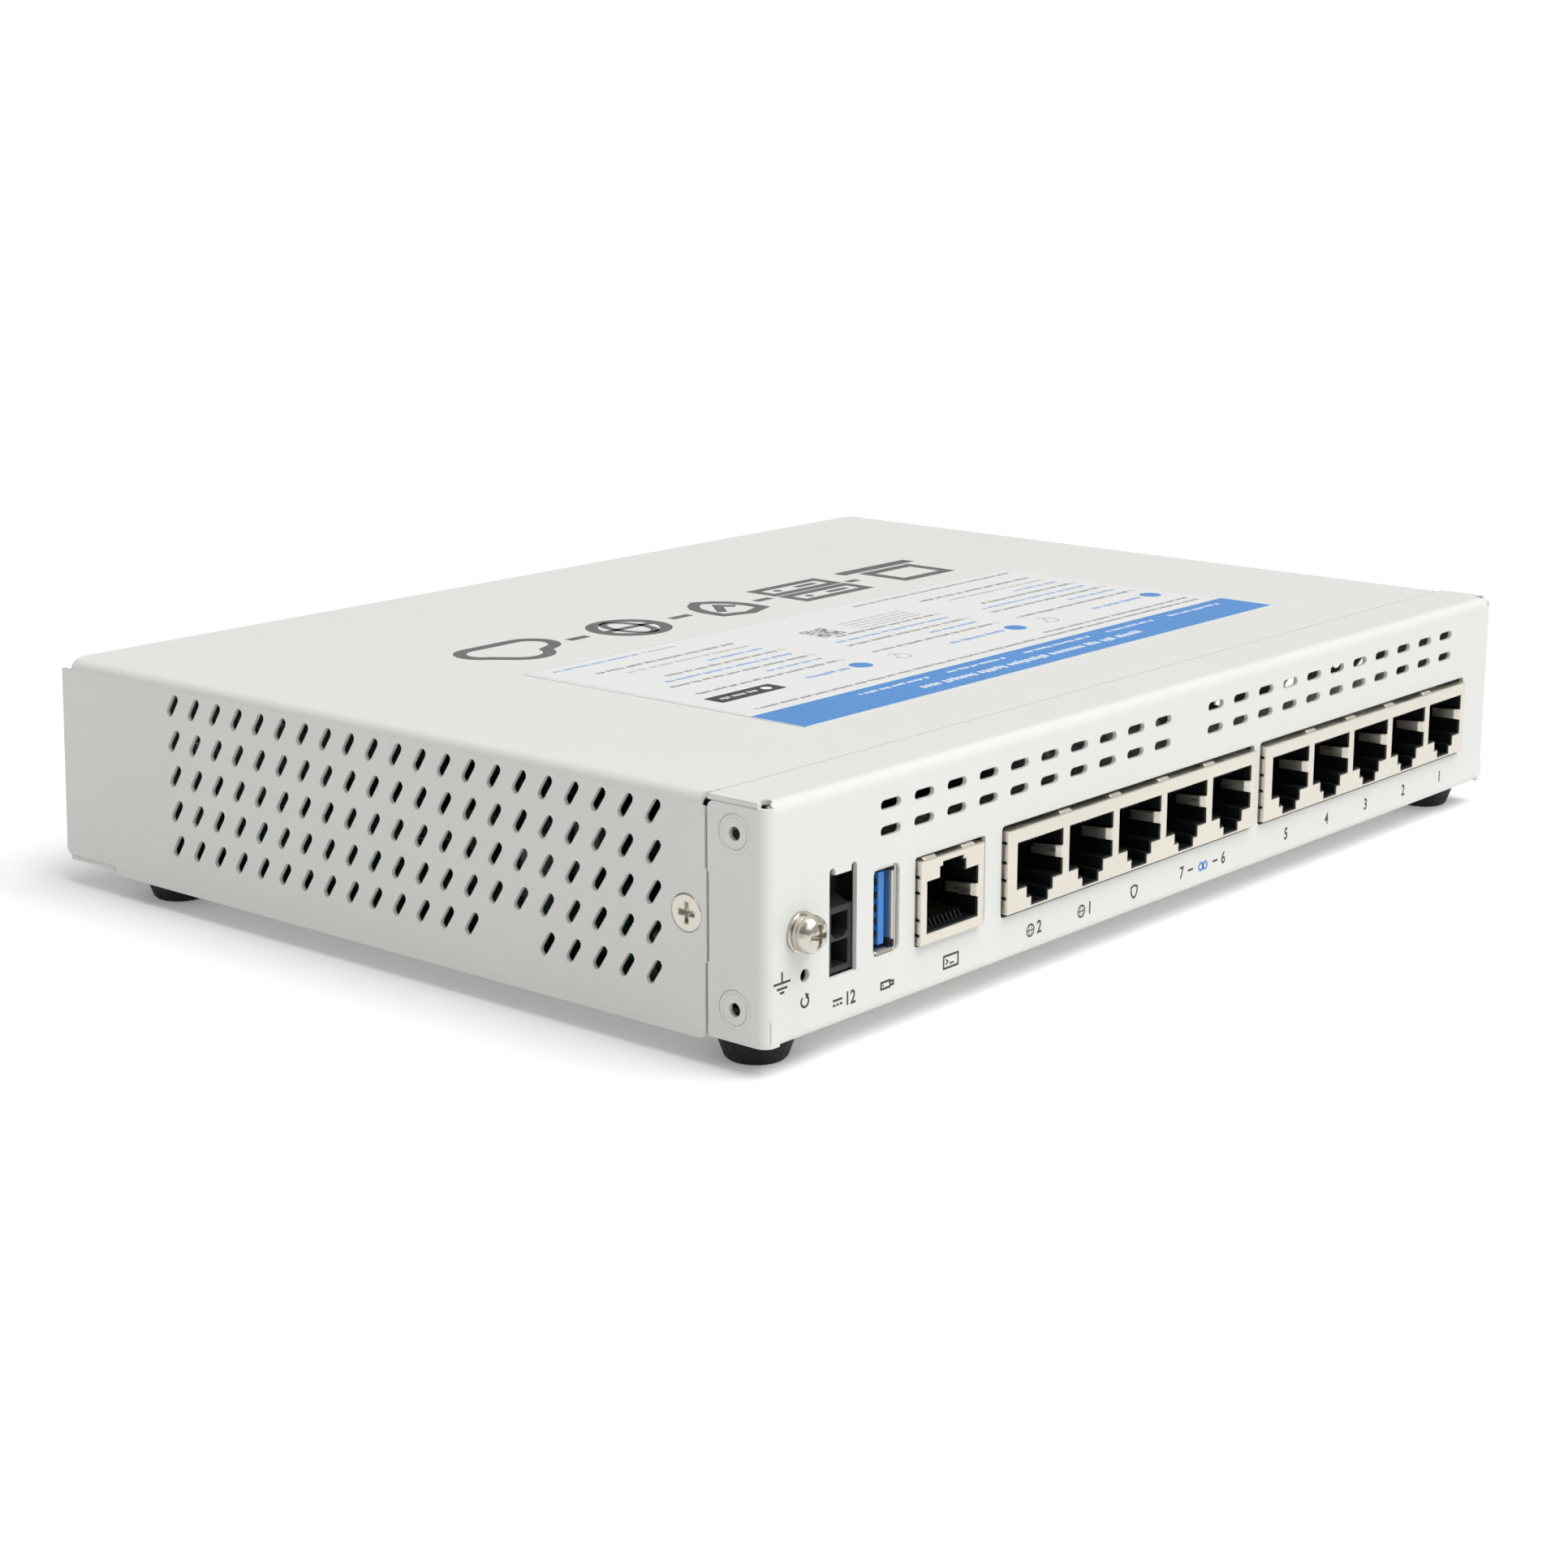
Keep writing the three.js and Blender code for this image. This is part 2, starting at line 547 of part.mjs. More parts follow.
  // Ear holes, keyholes and standoff holes.
  const holes = [];
  for (const z of EAR_HOLE_ZS) {
    holes.push(rod(EAR_HOLE_R, 4, 'x', [-x - 1, Y(EAR_HOLE_Y), Z(z)], 20));
    holes.push(rod(EAR_HOLE_R, 4, 'x', [x - 3, Y(EAR_HOLE_Y), Z(z)], 20));
  }
  for (const side of [-1, 1]) {
    holes.push(rod(4, 4, 'z', [side * 50, Y(70), Z(-1)], 16));
    holes.push(prismZ(slotOutline(side * 50, Y(74), 8, 4, 90, 4), Z(-1), Z(3)));
  }
  for (const sx of [-1, 1]) {
    for (const d of [SCREW_Y_NEAR, SCREW_Y_FAR]) {
      holes.push(rod(2.1, 4, 'z', [sx * SCREW_X, Y(d), Z(-1)], 20));
    }
  }
  chassis = chassis.subtract(wasm.Manifold.union(holes));
  put('base_chassis', chassis, PAINT);
}

// ---------------------------------------------------------------- feet
{
  const spots = [
    [-HALF + FOOT_IN_X, FOOT_Y_NEAR],
    [HALF - FOOT_IN_X, FOOT_Y_NEAR],
    [-HALF + FOOT_IN_X, FOOT_Y_FAR],
    [HALF - FOOT_IN_X, FOOT_Y_FAR],
  ];
  spots.forEach(([x, d], i) => {
    const foot = turned([[0, 0], [FOOT_R_LOW - 0.5, 0], [FOOT_R_LOW, 0.45],
      [FOOT_R_HIGH, FOOT_H - 0.02], [0, FOOT_H - 0.02]], 'z', [x, Y(d), 0], 24);
    put(`foot_${i + 1}`, foot, RUBBER);
  });
}

// ---------------------------------------------------------------- screws and nuts
{
  // Countersunk screws holding the cover to the chassis tabs, with nuts clinched behind.
  for (const side of [-1, 1]) {
    const tag = side < 0 ? 'left' : 'right';
    const axis = side < 0 ? 'x' : '-x';
    const at = [side * HALF, Y(CSK_Y), Z(CSK_Z)];
    let screw = turned([[0, 0], [CSK_R, 0], [CSK_R, 0.12], [M3_R, CSK_R - M3_R + 0.12],
      [M3_R, 5], [0, 5]], axis, at, 24);
    const rx = side < 0 ? -HALF - 0.5 : HALF - 0.9;
    screw = cut(screw, crossRecess('x', rx, at[1], at[2], 1.55, 1.4, 0.75));
    put(`cover_screw_${tag}`, screw, STEEL);
    const nutX = side * (IN_SIDE - SHEET - 0.01);
    put(`cover_nut_${tag}`, ring(BORE_R, 3.0, 2.0, axis, [nutX, at[1], at[2]], 16), STEEL);
    EAR_HOLE_ZS.forEach((z, i) => {
      const earX = side * (HALF - SHEET - 0.01);
      put(`ear_nut_${tag}_${i + 1}`, ring(1.25, 2.6, 1.6, axis, [earX, Y(EAR_HOLE_Y), Z(z)], 16),
        STEEL);
    });
  }

  // Ground screw stack on the panel.
  const gx = GROUND_X;
  const gz = Z(GROUND_Z);
  put('ground_washer', ring(1.6, FLAT_R, FLAT_T - 0.01, '-y', [gx, Y(-0.01), gz], 20), NICKEL);
  const lock = cut(ring(1.6, LOCK_R, LOCK_T - 0.02, '-y', [gx, Y(-FLAT_T - 0.01), gz], 20),
    prismY([[gx - 0.3, gz + 1], [gx + 0.2, gz + 1], [gx + 0.5, gz + 4], [gx, gz + 4]],
      Y(-3), Y(0)));
  put('ground_lock_washer', lock, STEEL);
  const under = FLAT_T + LOCK_T;
  let head = turned([
    [0, -6], [M3_R - 0.2, -6], [M3_R, -5.6], [M3_R, under], [PAN_R, under],
    [PAN_R + 0.02, under + 0.7], [PAN_R - 0.25, under + 1.35], [PAN_R - 0.8, under + 1.9],
    [PAN_R - 1.7, under + 2.3], [0, under + PAN_H],
  ], '-y', [gx, Y(0), gz], 20);
  head = cut(head, crossRecess('y', gx, Y(-under - PAN_H - 0.5), gz, 1.75, 2.0, 0.8));
  put('ground_screw', head, NICKEL);
  const hex = arc(gx, gz, 3.1, 0, 300, 5);
  put('ground_nut', cut(prismY(hex, Y(SHEET + 0.01), Y(SHEET + 3.0)),
    rod(BORE_R, 5, 'y', [gx, Y(0), gz], 24)), STEEL);
}

// ---------------------------------------------------------------- jacks
// Port opening outline in (x, z) about a centre line; latch below or above.
function portDown(cx, shrink = 0) {
  const s = shrink;
  const w = PORT_W / 2 - s;
  const m = PORT_STEP_W / 2 - s;
  const l = PORT_LATCH_W / 2 - s;
  const zt = Z(PORT_TOP - s);
  const zb = Z(PORT_BODY + s);
  const zs = Z(PORT_STEP + s);
  const zf = Z(PORT_FOOT + s);
  return [
    [cx - l, zf], [cx + l, zf], [cx + l, zs], [cx + m, zs], [cx + m, zb], [cx + w, zb],
    [cx + w, zt], [cx - w, zt], [cx - w, zb], [cx - m, zb], [cx - m, zs], [cx - l, zs],
  ];
}

function portUp(cx, shrink = 0) {
  const s = shrink;
  const w = 6.4 - s;
  const m = 3.3 - s;
  const l = 2.6 - s;
  const z = [1.9 + s, 10 - s, 11.7 - s, 12.35 - s].map((h) => Z(BOARD_TOP + h));
  return [
    [cx - w, z[0]], [cx + w, z[0]], [cx + w, z[1]], [cx + m, z[1]], [cx + m, z[2]],
    [cx + l, z[2]], [cx + l, z[3]], [cx - l, z[3]], [cx - l, z[2]], [cx - m, z[2]],
    [cx - m, z[1]], [cx - w, z[1]],
  ];
}

// Spring finger rooted on the right edge of a port, leaning into it and narrowing to its tip.
function finger(xRoot, zMid, tall) {
  const y0 = Y(-JACK_OUT);
  const plan = [
    [xRoot + 0.15, y0], [xRoot + 0.15, y0 + SHIELD_T], [xRoot - 0.45, y0 + 1.2],
    [xRoot - 1.45, y0 + 5.2], [xRoot - 1.65, y0 + 5.1], [xRoot - 0.75, y0 + 1.0],
    [xRoot - 0.35, y0],
  ];
  const h = tall / 2;
  const taper = prismX([[y0 - 0.1, Z(zMid - h)], [y0 + 5.3, Z(zMid - h * 0.76)],
    [y0 + 5.3, Z(zMid + h * 0.76)], [y0 - 0.1, Z(zMid + h)]], xRoot - 2, xRoot + 0.5);
  return prismZ(plan, Z(zMid - h - 1), Z(zMid + h + 1)).intersect(taper);
}

function shieldBody(x0, x1, z0, z1, portOutlines, tabs, slits, fingers) {
  const y0 = Y(-JACK_OUT);
  const y1 = Y(JACK_DEPTH - JACK_OUT);
  const t = SHIELD_T;
  let body = box(x0, x1, y0, y1, Z(z0), Z(z1));
  body = cut(body, box(x0 + t, x1 - t, y0 + t, y1 - t, Z(z0 - 1), Z(z1 - t)));
  for (const points of portOutlines) {
    body = cut(body, prismY(points, y0 - 1, y0 + t + 0.2));
  }
  for (const tx of tabs) {
    const ramp = [[y0 + 0.15, Z(z1 - 0.1)], [y0 + 6, Z(z1 - 0.1)], [y0 + 4.5, Z(z1 + 0.35)],
      [y0 + 0.9, Z(z1 + 0.35)]];
    body = add(body, prismX(ramp, tx - 1.5, tx + 1.5));
  }
  for (const z of slits) {
    body = cut(body,
      box(x0 - 1, x0 + t + 0.01, y0 + 0.35, y0 + 2.6, Z(z - 0.2), Z(z + 0.2)),
      box(x1 - t - 0.01, x1 + 1, y0 + 0.35, y0 + 2.6, Z(z - 0.2), Z(z + 0.2)));
  }
  for (const [fx, fz, tall] of fingers) {
    body = add(body, finger(fx, fz, tall));
  }
  return body;
}

function insertBody(x0, x1, z0, z1, outlines) {
  const y0 = Y(-JACK_OUT + SHIELD_T + 0.02);
  const y1 = Y(JACK_DEPTH - JACK_OUT - SHIELD_T - 0.1);
  const t = SHIELD_T + 0.03;
  let body = box(x0 + t, x1 - t, y0, y1, Z(z0 + 0.02), Z(z1 - t));
  for (const points of outlines) {
    body = cut(body, prismY(points, y0 - 1, y0 + 13));
  }
  return body;
}

function gang(tag, first) {
  const x0 = first - GANG_LEFT;
  const x1 = first + PORT_PITCH * (PORTS - 1) + PORT_W + GANG_RIGHT;
  const centres = [];
  for (let i = 0; i < PORTS; i += 1) {
    centres.push(first + PORT_W / 2 + PORT_PITCH * i);
  }
  const tabs = centres.slice(0, -1).map((c) => c + PORT_PITCH / 2 + 0.4);
  const mid = BOARD_TOP + 7.5;
  const fingers = centres.map((c) => [c + PORT_W / 2, mid, 2.05]);
  const shield = shieldBody(x0, x1, GANG_Z0, GANG_Z1, centres.map((c) => portDown(c)), tabs,
    [11.6, 8.5, 5.7, 2.8].map((h) => BOARD_TOP + h), fingers);
  put(`${tag}_shield`, shield, NICKEL);
  // Pockets are cleared beside the fingers so that the metal can flex into the wall.
  let insert = insertBody(x0, x1, GANG_Z0, GANG_Z1, centres.map((c) => portDown(c, 0.2)));
  for (const [fx] of fingers) {
    insert = cut(insert, box(fx - 0.9, fx + 0.35, Y(-2), Y(6.5), Z(mid - 1.25), Z(mid + 1.25)));
  }
  put(`${tag}_insert`, insert, BLACK);
}

gang('wan_ports', GANG_A_X);
gang('lan_ports', GANG_B_X);

{
  const x0 = CONSOLE_X - CONSOLE_W / 2;
  const x1 = CONSOLE_X + CONSOLE_W / 2;
  const fx = CONSOLE_X + 6.4;
  const mid = BOARD_TOP + 6.05;
  const shield = shieldBody(x0, x1, CONSOLE_Z0, CONSOLE_Z1, [portUp(CONSOLE_X)],
    [CONSOLE_X - 5.1, CONSOLE_X + 4.4], [10.8, 8.4, 4.2, 1.8].map((h) => BOARD_TOP + h),
    [[fx, mid, 2.1]]);
  put('console_shield', shield, NICKEL);
  let insert = insertBody(x0, x1, CONSOLE_Z0, CONSOLE_Z1, [portUp(CONSOLE_X, 0.2)]);
  insert = cut(insert, box(fx - 0.9, fx + 0.35, Y(-2), Y(6.5), Z(mid - 1.3), Z(mid + 1.3)));
  put('console_insert', insert, BLACK);
}

// ---------------------------------------------------------------- USB socket
{
  const y0 = Y(0.45);
  const y1 = Y(14.5);
  const a = USB_W / 2;
  const b = USB_H / 2;
  const t = 0.3;
  const outer = prismY(roundedRect(USB_X - a, USB_X + a, Z(USB_Z - b), Z(USB_Z + b), 0.5, 3),
    y0, y1);
  const inner = prismY(roundedRect(USB_X - a + t, USB_X + a - t, Z(USB_Z - b + t),
    Z(USB_Z + b - t), 0.25, 3), y0 - 1, y1 - t);
  put('usb_shell', cut(outer, inner), NICKEL);
  // Tongue with its root block; shallow grooves carry the contacts on the -X face.
  const back = box(USB_X - a + t + 0.02, USB_X + a - t - 0.02, Y(11.2), y1 - t - 0.02,
    Z(USB_Z - b + t + 0.3), Z(USB_Z + b - t - 0.3));
  const near = USB_X - 0.3;
  const far = USB_X + 1.5;
  let tongue = add(back, prismZ([[near, Y(11.3)], [near, Y(1.4)], [near + 0.12, Y(1.3)],
    [far - 0.5, Y(1.3)], [far, Y(2.2)], [far, Y(11.3)]], Z(USB_Z - 5.5), Z(USB_Z + 5.5)));
  for (let i = 0; i < 5; i += 1) {
    const z = USB_Z - 4 + i * 2;
    tongue = cut(tongue, box(near - 1, near + 0.3, Y(1.6), Y(9), Z(z - 0.6), Z(z + 0.6)));
  }
  put('usb_tongue', tongue, BLUE);
}

// ---------------------------------------------------------------- DC inlet
{
  const y0 = Y(0.7);
  const x0 = DC_X - DC_W / 2;
  const x1 = DC_X + DC_W / 2;
  const top = DC_Z0 + 9.85;
  const hood = DC_Z0 + 14.55;
  const sill = DC_Z0 + 11.15;
  const side = [
    [y0, Z(DC_Z0)], [Y(13), Z(DC_Z0)], [Y(13), Z(hood)], [Y(7), Z(hood)], [Y(7), Z(sill)],
    [Y(4.6), Z(sill)], [Y(1.9), Z(top)], [y0, Z(top)],
  ];
  let body = prismX(side, x0, x1);
  const w = 1.9;
  const zLow = DC_Z0 + 2.8;
  const zHigh = zLow + DC_PITCH;
  const square = [[DC_X - w, Z(zLow - w)], [DC_X + w, Z(zLow - w)], [DC_X + w, Z(zLow + w)],
    [DC_X - w, Z(zLow + w)]];
  const keyed = [[DC_X - w + 0.9, Z(zHigh - w)], [DC_X + w - 0.9, Z(zHigh - w)],
    [DC_X + w, Z(zHigh - w + 0.9)], [DC_X + w, Z(zHigh + w)], [DC_X - w, Z(zHigh + w)],
    [DC_X - w, Z(zHigh - w + 0.9)]];
  body = cut(body, prismY(square, y0 - 1, Y(10)), prismY(keyed, y0 - 1, Y(10)));
  // Bores for the pins in the back wall.
  for (const z of [zLow, zHigh]) {
    body = cut(body, box(DC_X - 0.55, DC_X + 0.55, Y(9), Y(14), Z(z - 0.55), Z(z + 0.55)));
  }
  put('dc_inlet_housing', body, GREY);
  [zLow, zHigh].forEach((z, i) => {
    const pin = add(box(DC_X - 0.5, DC_X + 0.5, Y(3.2), Y(13.6), Z(z - 0.5), Z(z + 0.5)),
      box(DC_X - 0.5, DC_X + 0.5, Y(13.05 + i * 1.6), Y(14.05 + i * 1.6), Z(BOARD_TOP + 0.02),
        Z(z + 0.5)),
      box(DC_X - 0.5, DC_X + 0.5, Y(13.3), Y(14.05 + i * 1.6), Z(z - 0.5), Z(z + 0.5)));
    put(`dc_pin_${i + 1}`, pin, BRASS);
  });
}

// ---------------------------------------------------------------- board and what stands on it
{
  let board = box(-BOARD_X, BOARD_X, Y(BOARD_Y0), Y(BOARD_Y1), Z(BOARD_Z), Z(BOARD_TOP));
  const spots = [];
  for (const d of [SCREW_Y_NEAR, SCREW_Y_FAR]) {
    for (const sx of [-1, 1]) spots.push([sx * SCREW_X, d]);
  }
  for (const [x, d] of spots) {
    board = cut(board, rod(1.7, 4, 'z', [x, Y(d), Z(BOARD_Z - 1)], 20));
  }
  const SINK_HOLES = [[-30, 58], [30, 102]];
  for (const [x, d] of SINK_HOLES) {
    board = cut(board, rod(1.3, 4, 'z', [x, Y(d), Z(BOARD_Z - 1)], 16));
  }
  put('main_board', board, GREEN);

  spots.forEach(([x, d], i) => {
    const post = turned([[BORE_R, 0.0], [2.05, 0.0], [2.05, SHEET], [3.0, SHEET],
      [3.0, BOARD_Z - 0.01], [BORE_R, BOARD_Z - 0.01], [BORE_R, 0]], 'z', [x, Y(d), Z(0)], 12);
    put(`standoff_${i + 1}`, post, STEEL);
    let screw = turned([[0, -4], [M3_R, -4], [M3_R, 0], [PAN_R, 0], [PAN_R, 1.0],
      [PAN_R - 0.7, 1.7], [0, 2.0]], 'z', [x, Y(d), Z(BOARD_TOP + 0.01)], 12);
    screw = cut(screw, crossRecess('z', x, Y(d), Z(BOARD_TOP + 0.9), 1.5, 2, 0.7));
    put(`board_screw_${i + 1}`, screw, STEEL);
  });

  const t = BOARD_TOP + 0.01;
  const chip = (name, x, d, w, l, h, look = CHIP) => put(name,
    box(x - w / 2, x + w / 2, Y(d - l / 2), Y(d + l / 2), Z(t), Z(t + h)), look);
  chip('processor', 0, 80, 27, 27, 2.2);
  chip('switch_chip', 40, 40, 16, 16, 1.3);
  chip('port_chip', -15, 40, 14, 14, 1.3);
  chip('memory_1', 62, 72, 10, 13, 1.1);
  chip('memory_2', 62, 92, 10, 13, 1.1);
  chip('flash_chip', -60, BOARD_Y1 - 37, 12, 10, 1.2);
  chip('power_inductor', -82, 48, 9, 9, 4.5, GREY);
  put('thermal_pad', box(-13, 13, Y(67), Y(93), Z(t + 2.21), Z(t + 2.7)), PAD);

  // Heat sink: finned bar with two screw lugs.
  const z0 = t + 2.71;
  const base = 3.0;
  const fins = 15;
  const halfW = 38;
  const comb = [[-halfW, Z(z0)], [halfW, Z(z0)]];
  const step = (2 * halfW - 1.4) / (fins - 1);
  for (let i = fins - 1; i >= 0; i -= 1) {
    const c = -halfW + 0.7 + i * step;
    comb.push([c + 0.7, Z(z0 + 16)], [c - 0.7, Z(z0 + 16)]);
    if (i > 0) comb.push([c - 0.7, Z(z0 + base)], [c - step + 0.7, Z(z0 + base)]);
  }
  let sink = prismY(comb, Y(52), Y(108));
  for (const [x, d] of SINK_HOLES) {
    sink = cut(sink, box(x - 3.9, x + 3.9, Y(d - 3.9), Y(d + 3.9), Z(z0 + base), Z(z0 + 20)),
      rod(BORE_R, 8, 'z', [x, Y(d), Z(z0 - 1)], 16));
  }
  put('heat_sink', sink, ALU);
  SINK_HOLES.forEach(([x, d], i) => {
    let pin = turned([[0, -8], [1.15, -8], [1.15, 0], [2.7, 0], [2.7, 1.2], [1.6, 1.8],
      [0, 1.8]], 'z', [x, Y(d), Z(z0 + base + 0.01)], 12);
    pin = cut(pin, crossRecess('z', x, Y(d), Z(z0 + base + 1.0), 1.3, 2, 0.6));
    put(`sink_screw_${i + 1}`, pin, STEEL);
  });

  [[-88, 62], [-76, 62]].forEach(([x, d], i) => {
    put(`capacitor_${i + 1}`, turned([[0, 0], [4, 0], [4, 1.4], [3.8, 1.7], [4, 2.0],
      [4, 10.6], [3.7, 11], [0, 11]], 'z', [x, Y(d), Z(t)], 16), ALU);
  });

  // Coin cell in its holder.
  const cx = -78;
  const cd = 96;
  const cup = cut(rod(11.5, 3.4, 'z', [cx, Y(cd), Z(t)], 20),
    rod(10.3, 4, 'z', [cx, Y(cd), Z(t + 0.6)], 20),
    box(cx - 4, cx + 4, Y(cd - 13), Y(cd - 6), Z(t + 0.6), Z(t + 5)));
  put('coin_cell_holder', cup, BLACK);
  put('coin_cell', turned([[0, 0], [9.2, 0], [10, 0.7], [10, 3.2], [0, 3.2]], 'z',
    [cx, Y(cd), Z(t + 0.62)], 20), STEEL);

  // Status lights: a strip on the board and a moulded light guide reaching the face holes.
  const row = BOARD_Y1 - 4;
  put('light_strip', box(-82, 54, Y(row - 1.4), Y(row + 1.4), Z(t), Z(t + 1.2)), PAPER);
  let guide = box(-82, 54, Y(row - 1.8), Y(row + 1.8), Z(t + 1.25), Z(LIGHT_Z + 2.4));
  for (let i = 0; i < 13; i += 1) {
    const lx = i < 3 ? -78 + i * 9 : -30 + (i - 3) * 9;
    guide = add(guide, box(lx - 1.15, lx + 1.15, Y(row + 1.5), Y(CASE_D - 0.8), Z(LIGHT_Z - 0.75),
      Z(LIGHT_Z + 0.75)));
  }
  put('light_guide', guide, CLEAR);
}

// ---------------------------------------------------------------- reset switch
{
  const x = RESET_X;
  const z = Z(RESET_Z);
  let body = box(x - 3, x + 3, Y(4.2), Y(7.9), Z(BOARD_TOP + 0.01), Z(BOARD_TOP + 3.6));
  body = cut(body,
    rod(0.88, 3, 'y', [x, Y(3.5), z], 20),
    rod(1.4, 1.55 + RESET_TRAVEL, 'y', [x, Y(4.9), z], 20));
  put('reset_switch', body, CHIP);
  const stem = turned([[0, 0], [0.65, 0], [0.8, 0.15], [0.8, 3.1], [1.25, 3.1], [1.25, 4.4],
    [0, 4.4]], 'y', [x, Y(1.9), z], 20);
  put('reset_button', stem, BLACK);
}

// ---------------------------------------------------------------- labels
put('top_label', prismZ(roundedRect(LABEL_X[0], LABEL_X[1], Y(LABEL_Y[0]), Y(LABEL_Y[1]), 1.2, 3),
  Z(CASE_H + 0.005), Z(CASE_H + 0.005 + LABEL_T)), PAPER);
put('base_label', prismZ(roundedRect(-32, 32, Y(96), Y(126), 1.2, 3), Z(-0.105), Z(-0.005)), PAPER);

export default group;
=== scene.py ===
"""Desktop firewall appliance: finishes, printing, socket contacts and stage."""

import json
import math
import random

import bmesh
import bpy
from mathutils import Matrix, Vector

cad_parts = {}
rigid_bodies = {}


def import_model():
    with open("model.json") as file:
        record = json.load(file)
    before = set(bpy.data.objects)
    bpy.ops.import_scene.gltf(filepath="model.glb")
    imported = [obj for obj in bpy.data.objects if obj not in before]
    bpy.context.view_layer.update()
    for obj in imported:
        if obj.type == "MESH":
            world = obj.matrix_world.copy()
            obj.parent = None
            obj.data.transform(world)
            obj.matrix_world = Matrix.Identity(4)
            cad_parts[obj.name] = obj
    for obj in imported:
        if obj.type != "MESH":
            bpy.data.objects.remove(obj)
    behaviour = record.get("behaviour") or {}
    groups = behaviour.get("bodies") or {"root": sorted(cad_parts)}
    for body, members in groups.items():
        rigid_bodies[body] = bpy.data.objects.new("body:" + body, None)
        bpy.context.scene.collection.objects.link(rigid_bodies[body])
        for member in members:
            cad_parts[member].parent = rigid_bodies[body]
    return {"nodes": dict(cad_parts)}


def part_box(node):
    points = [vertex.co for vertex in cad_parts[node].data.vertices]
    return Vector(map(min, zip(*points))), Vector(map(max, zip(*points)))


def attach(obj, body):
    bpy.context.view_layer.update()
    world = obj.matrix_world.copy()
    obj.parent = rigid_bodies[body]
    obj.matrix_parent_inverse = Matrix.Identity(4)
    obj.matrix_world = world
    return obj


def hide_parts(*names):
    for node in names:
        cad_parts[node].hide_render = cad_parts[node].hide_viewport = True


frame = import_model()

bl_info = {
    "name": "Firewall appliance looks",
    "version": (1, 0, 0),
    "blender": (4, 5, 0),
    "location": "3D View > Sidebar > Appliance",
    "description": "Paint, metal, printing and socket detail for a desktop firewall appliance",
    "category": "Object",
}

MM = 0.001
CASE = "case"


# ------------------------------------------------------------------ places taken from the model
def low(node):
    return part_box(node)[0]


def high(node):
    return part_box(node)[1]


PANEL_Y = low("base_chassis").y
FLOOR_Z = low("base_chassis").z
TOP_Z = high("top_cover").z
HALF_W = high("top_cover").x
SIDE_DEPTH = 0.16
FACE_LEAN = math.atan2(1.5, 36.45)
FACE_FOOT = 0.65          # the light face starts this far under the floor sheet
PORT_PITCH = 13.95        # network ports of one module
PORT_WIDTH = 12.33
SHIELD_WALL = 2.4         # from a module's end to its first port
CONTACT_PITCH = 1.02
CONTACTS = 8              # springs in one port
CAPTION_LINE_V = 3.43     # middle of the captions over the floor sheet


def axes(x_axis, y_axis, z_axis, origin):
    """A placement that takes drawing millimetres onto a face of the case."""
    turn = Matrix((x_axis, y_axis, z_axis)).transposed().to_4x4()
    return Matrix.Translation(origin) @ turn @ Matrix.Scale(MM, 4)


def panel_place():
    """Drawing x is along the panel, drawing y is the height over the floor sheet."""
    return axes((1, 0, 0), (0, 0, 1), (0, -1, 0), Vector((0, PANEL_Y, FLOOR_Z)))


def top_place(z):
    """Read from the light-face side: drawing x runs to -X and drawing y towards the panel."""
    return axes((-1, 0, 0), (0, -1, 0), (0, 0, 1), Vector((0, PANEL_Y, z)))


def face_place():
    """The leaning light face, read from outside it."""
    s, c = math.sin(FACE_LEAN), math.cos(FACE_LEAN)
    foot = Vector((0, PANEL_Y + SIDE_DEPTH, FLOOR_Z - FACE_FOOT * MM))
    return axes((-1, 0, 0), (0, -s, c), (0, c, s), foot)


def under_place(z):
    """The underside, read from below."""
    return axes((1, 0, 0), (0, -1, 0), (0, 0, -1), Vector((0, PANEL_Y, z)))


# ------------------------------------------------------------------ mesh helpers
def new_piece(name, mesh_builder, material, body=CASE, smooth=False):
    """Turns a bmesh into a piece that rides on a body."""
    mesh = bpy.data.meshes.new(name)
    bmesh.ops.remove_doubles(mesh_builder, verts=mesh_builder.verts, dist=1e-8)
    bmesh.ops.recalc_face_normals(mesh_builder, faces=mesh_builder.faces)
    mesh_builder.to_mesh(mesh)
    mesh_builder.free()
    if smooth:
        mesh.shade_smooth()
        mesh.set_sharp_from_angle(angle=math.radians(38))
    mesh.materials.append(material)
    piece = bpy.data.objects.new(name, mesh)
    bpy.context.scene.collection.objects.link(piece)
    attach(piece, body)
    return piece


def prism(bm, outline, place, z0, z1):
    """A closed slab over a flat outline given in drawing millimetres."""
    lower = [bm.verts.new(place @ Vector((u, v, z0))) for u, v in outline]
    upper = [bm.verts.new(place @ Vector((u, v, z1))) for u, v in outline]
    n = len(outline)
    bm.faces.new(upper)
    bm.faces.new(lower[::-1])
    for i in range(n):
        j = (i + 1) % n
        bm.faces.new((lower[i], lower[j], upper[j], upper[i]))


def ribbon(bm, path, half_width, thick, place):
    """A strip with rounded edges along a path in drawing (y, z), as wide as it is in x."""
    n = len(path)
    rows = []
    for i, (y, z) in enumerate(path):
        a = path[max(i - 1, 0)]
        b = path[min(i + 1, n - 1)]
        d = Vector((b[0] - a[0], b[1] - a[1])).normalized()
        nx, nz = -d.y, d.x
        h = thick / 2
        e = half_width - thick * 0.3
        section = [(-half_width, 0), (-e, h), (e, h), (half_width, 0), (e, -h), (-e, -h)]
        rows.append([bm.verts.new(place @ Vector((u, y + nx * w, z + nz * w)))
                     for u, w in section])
    m = len(rows[0])
    for i in range(n - 1):
        for k in range(m):
            j = (k + 1) % m
            bm.faces.new((rows[i][k], rows[i][j], rows[i + 1][j], rows[i + 1][k]))
    bm.faces.new(rows[0][::-1])
    bm.faces.new(rows[-1])


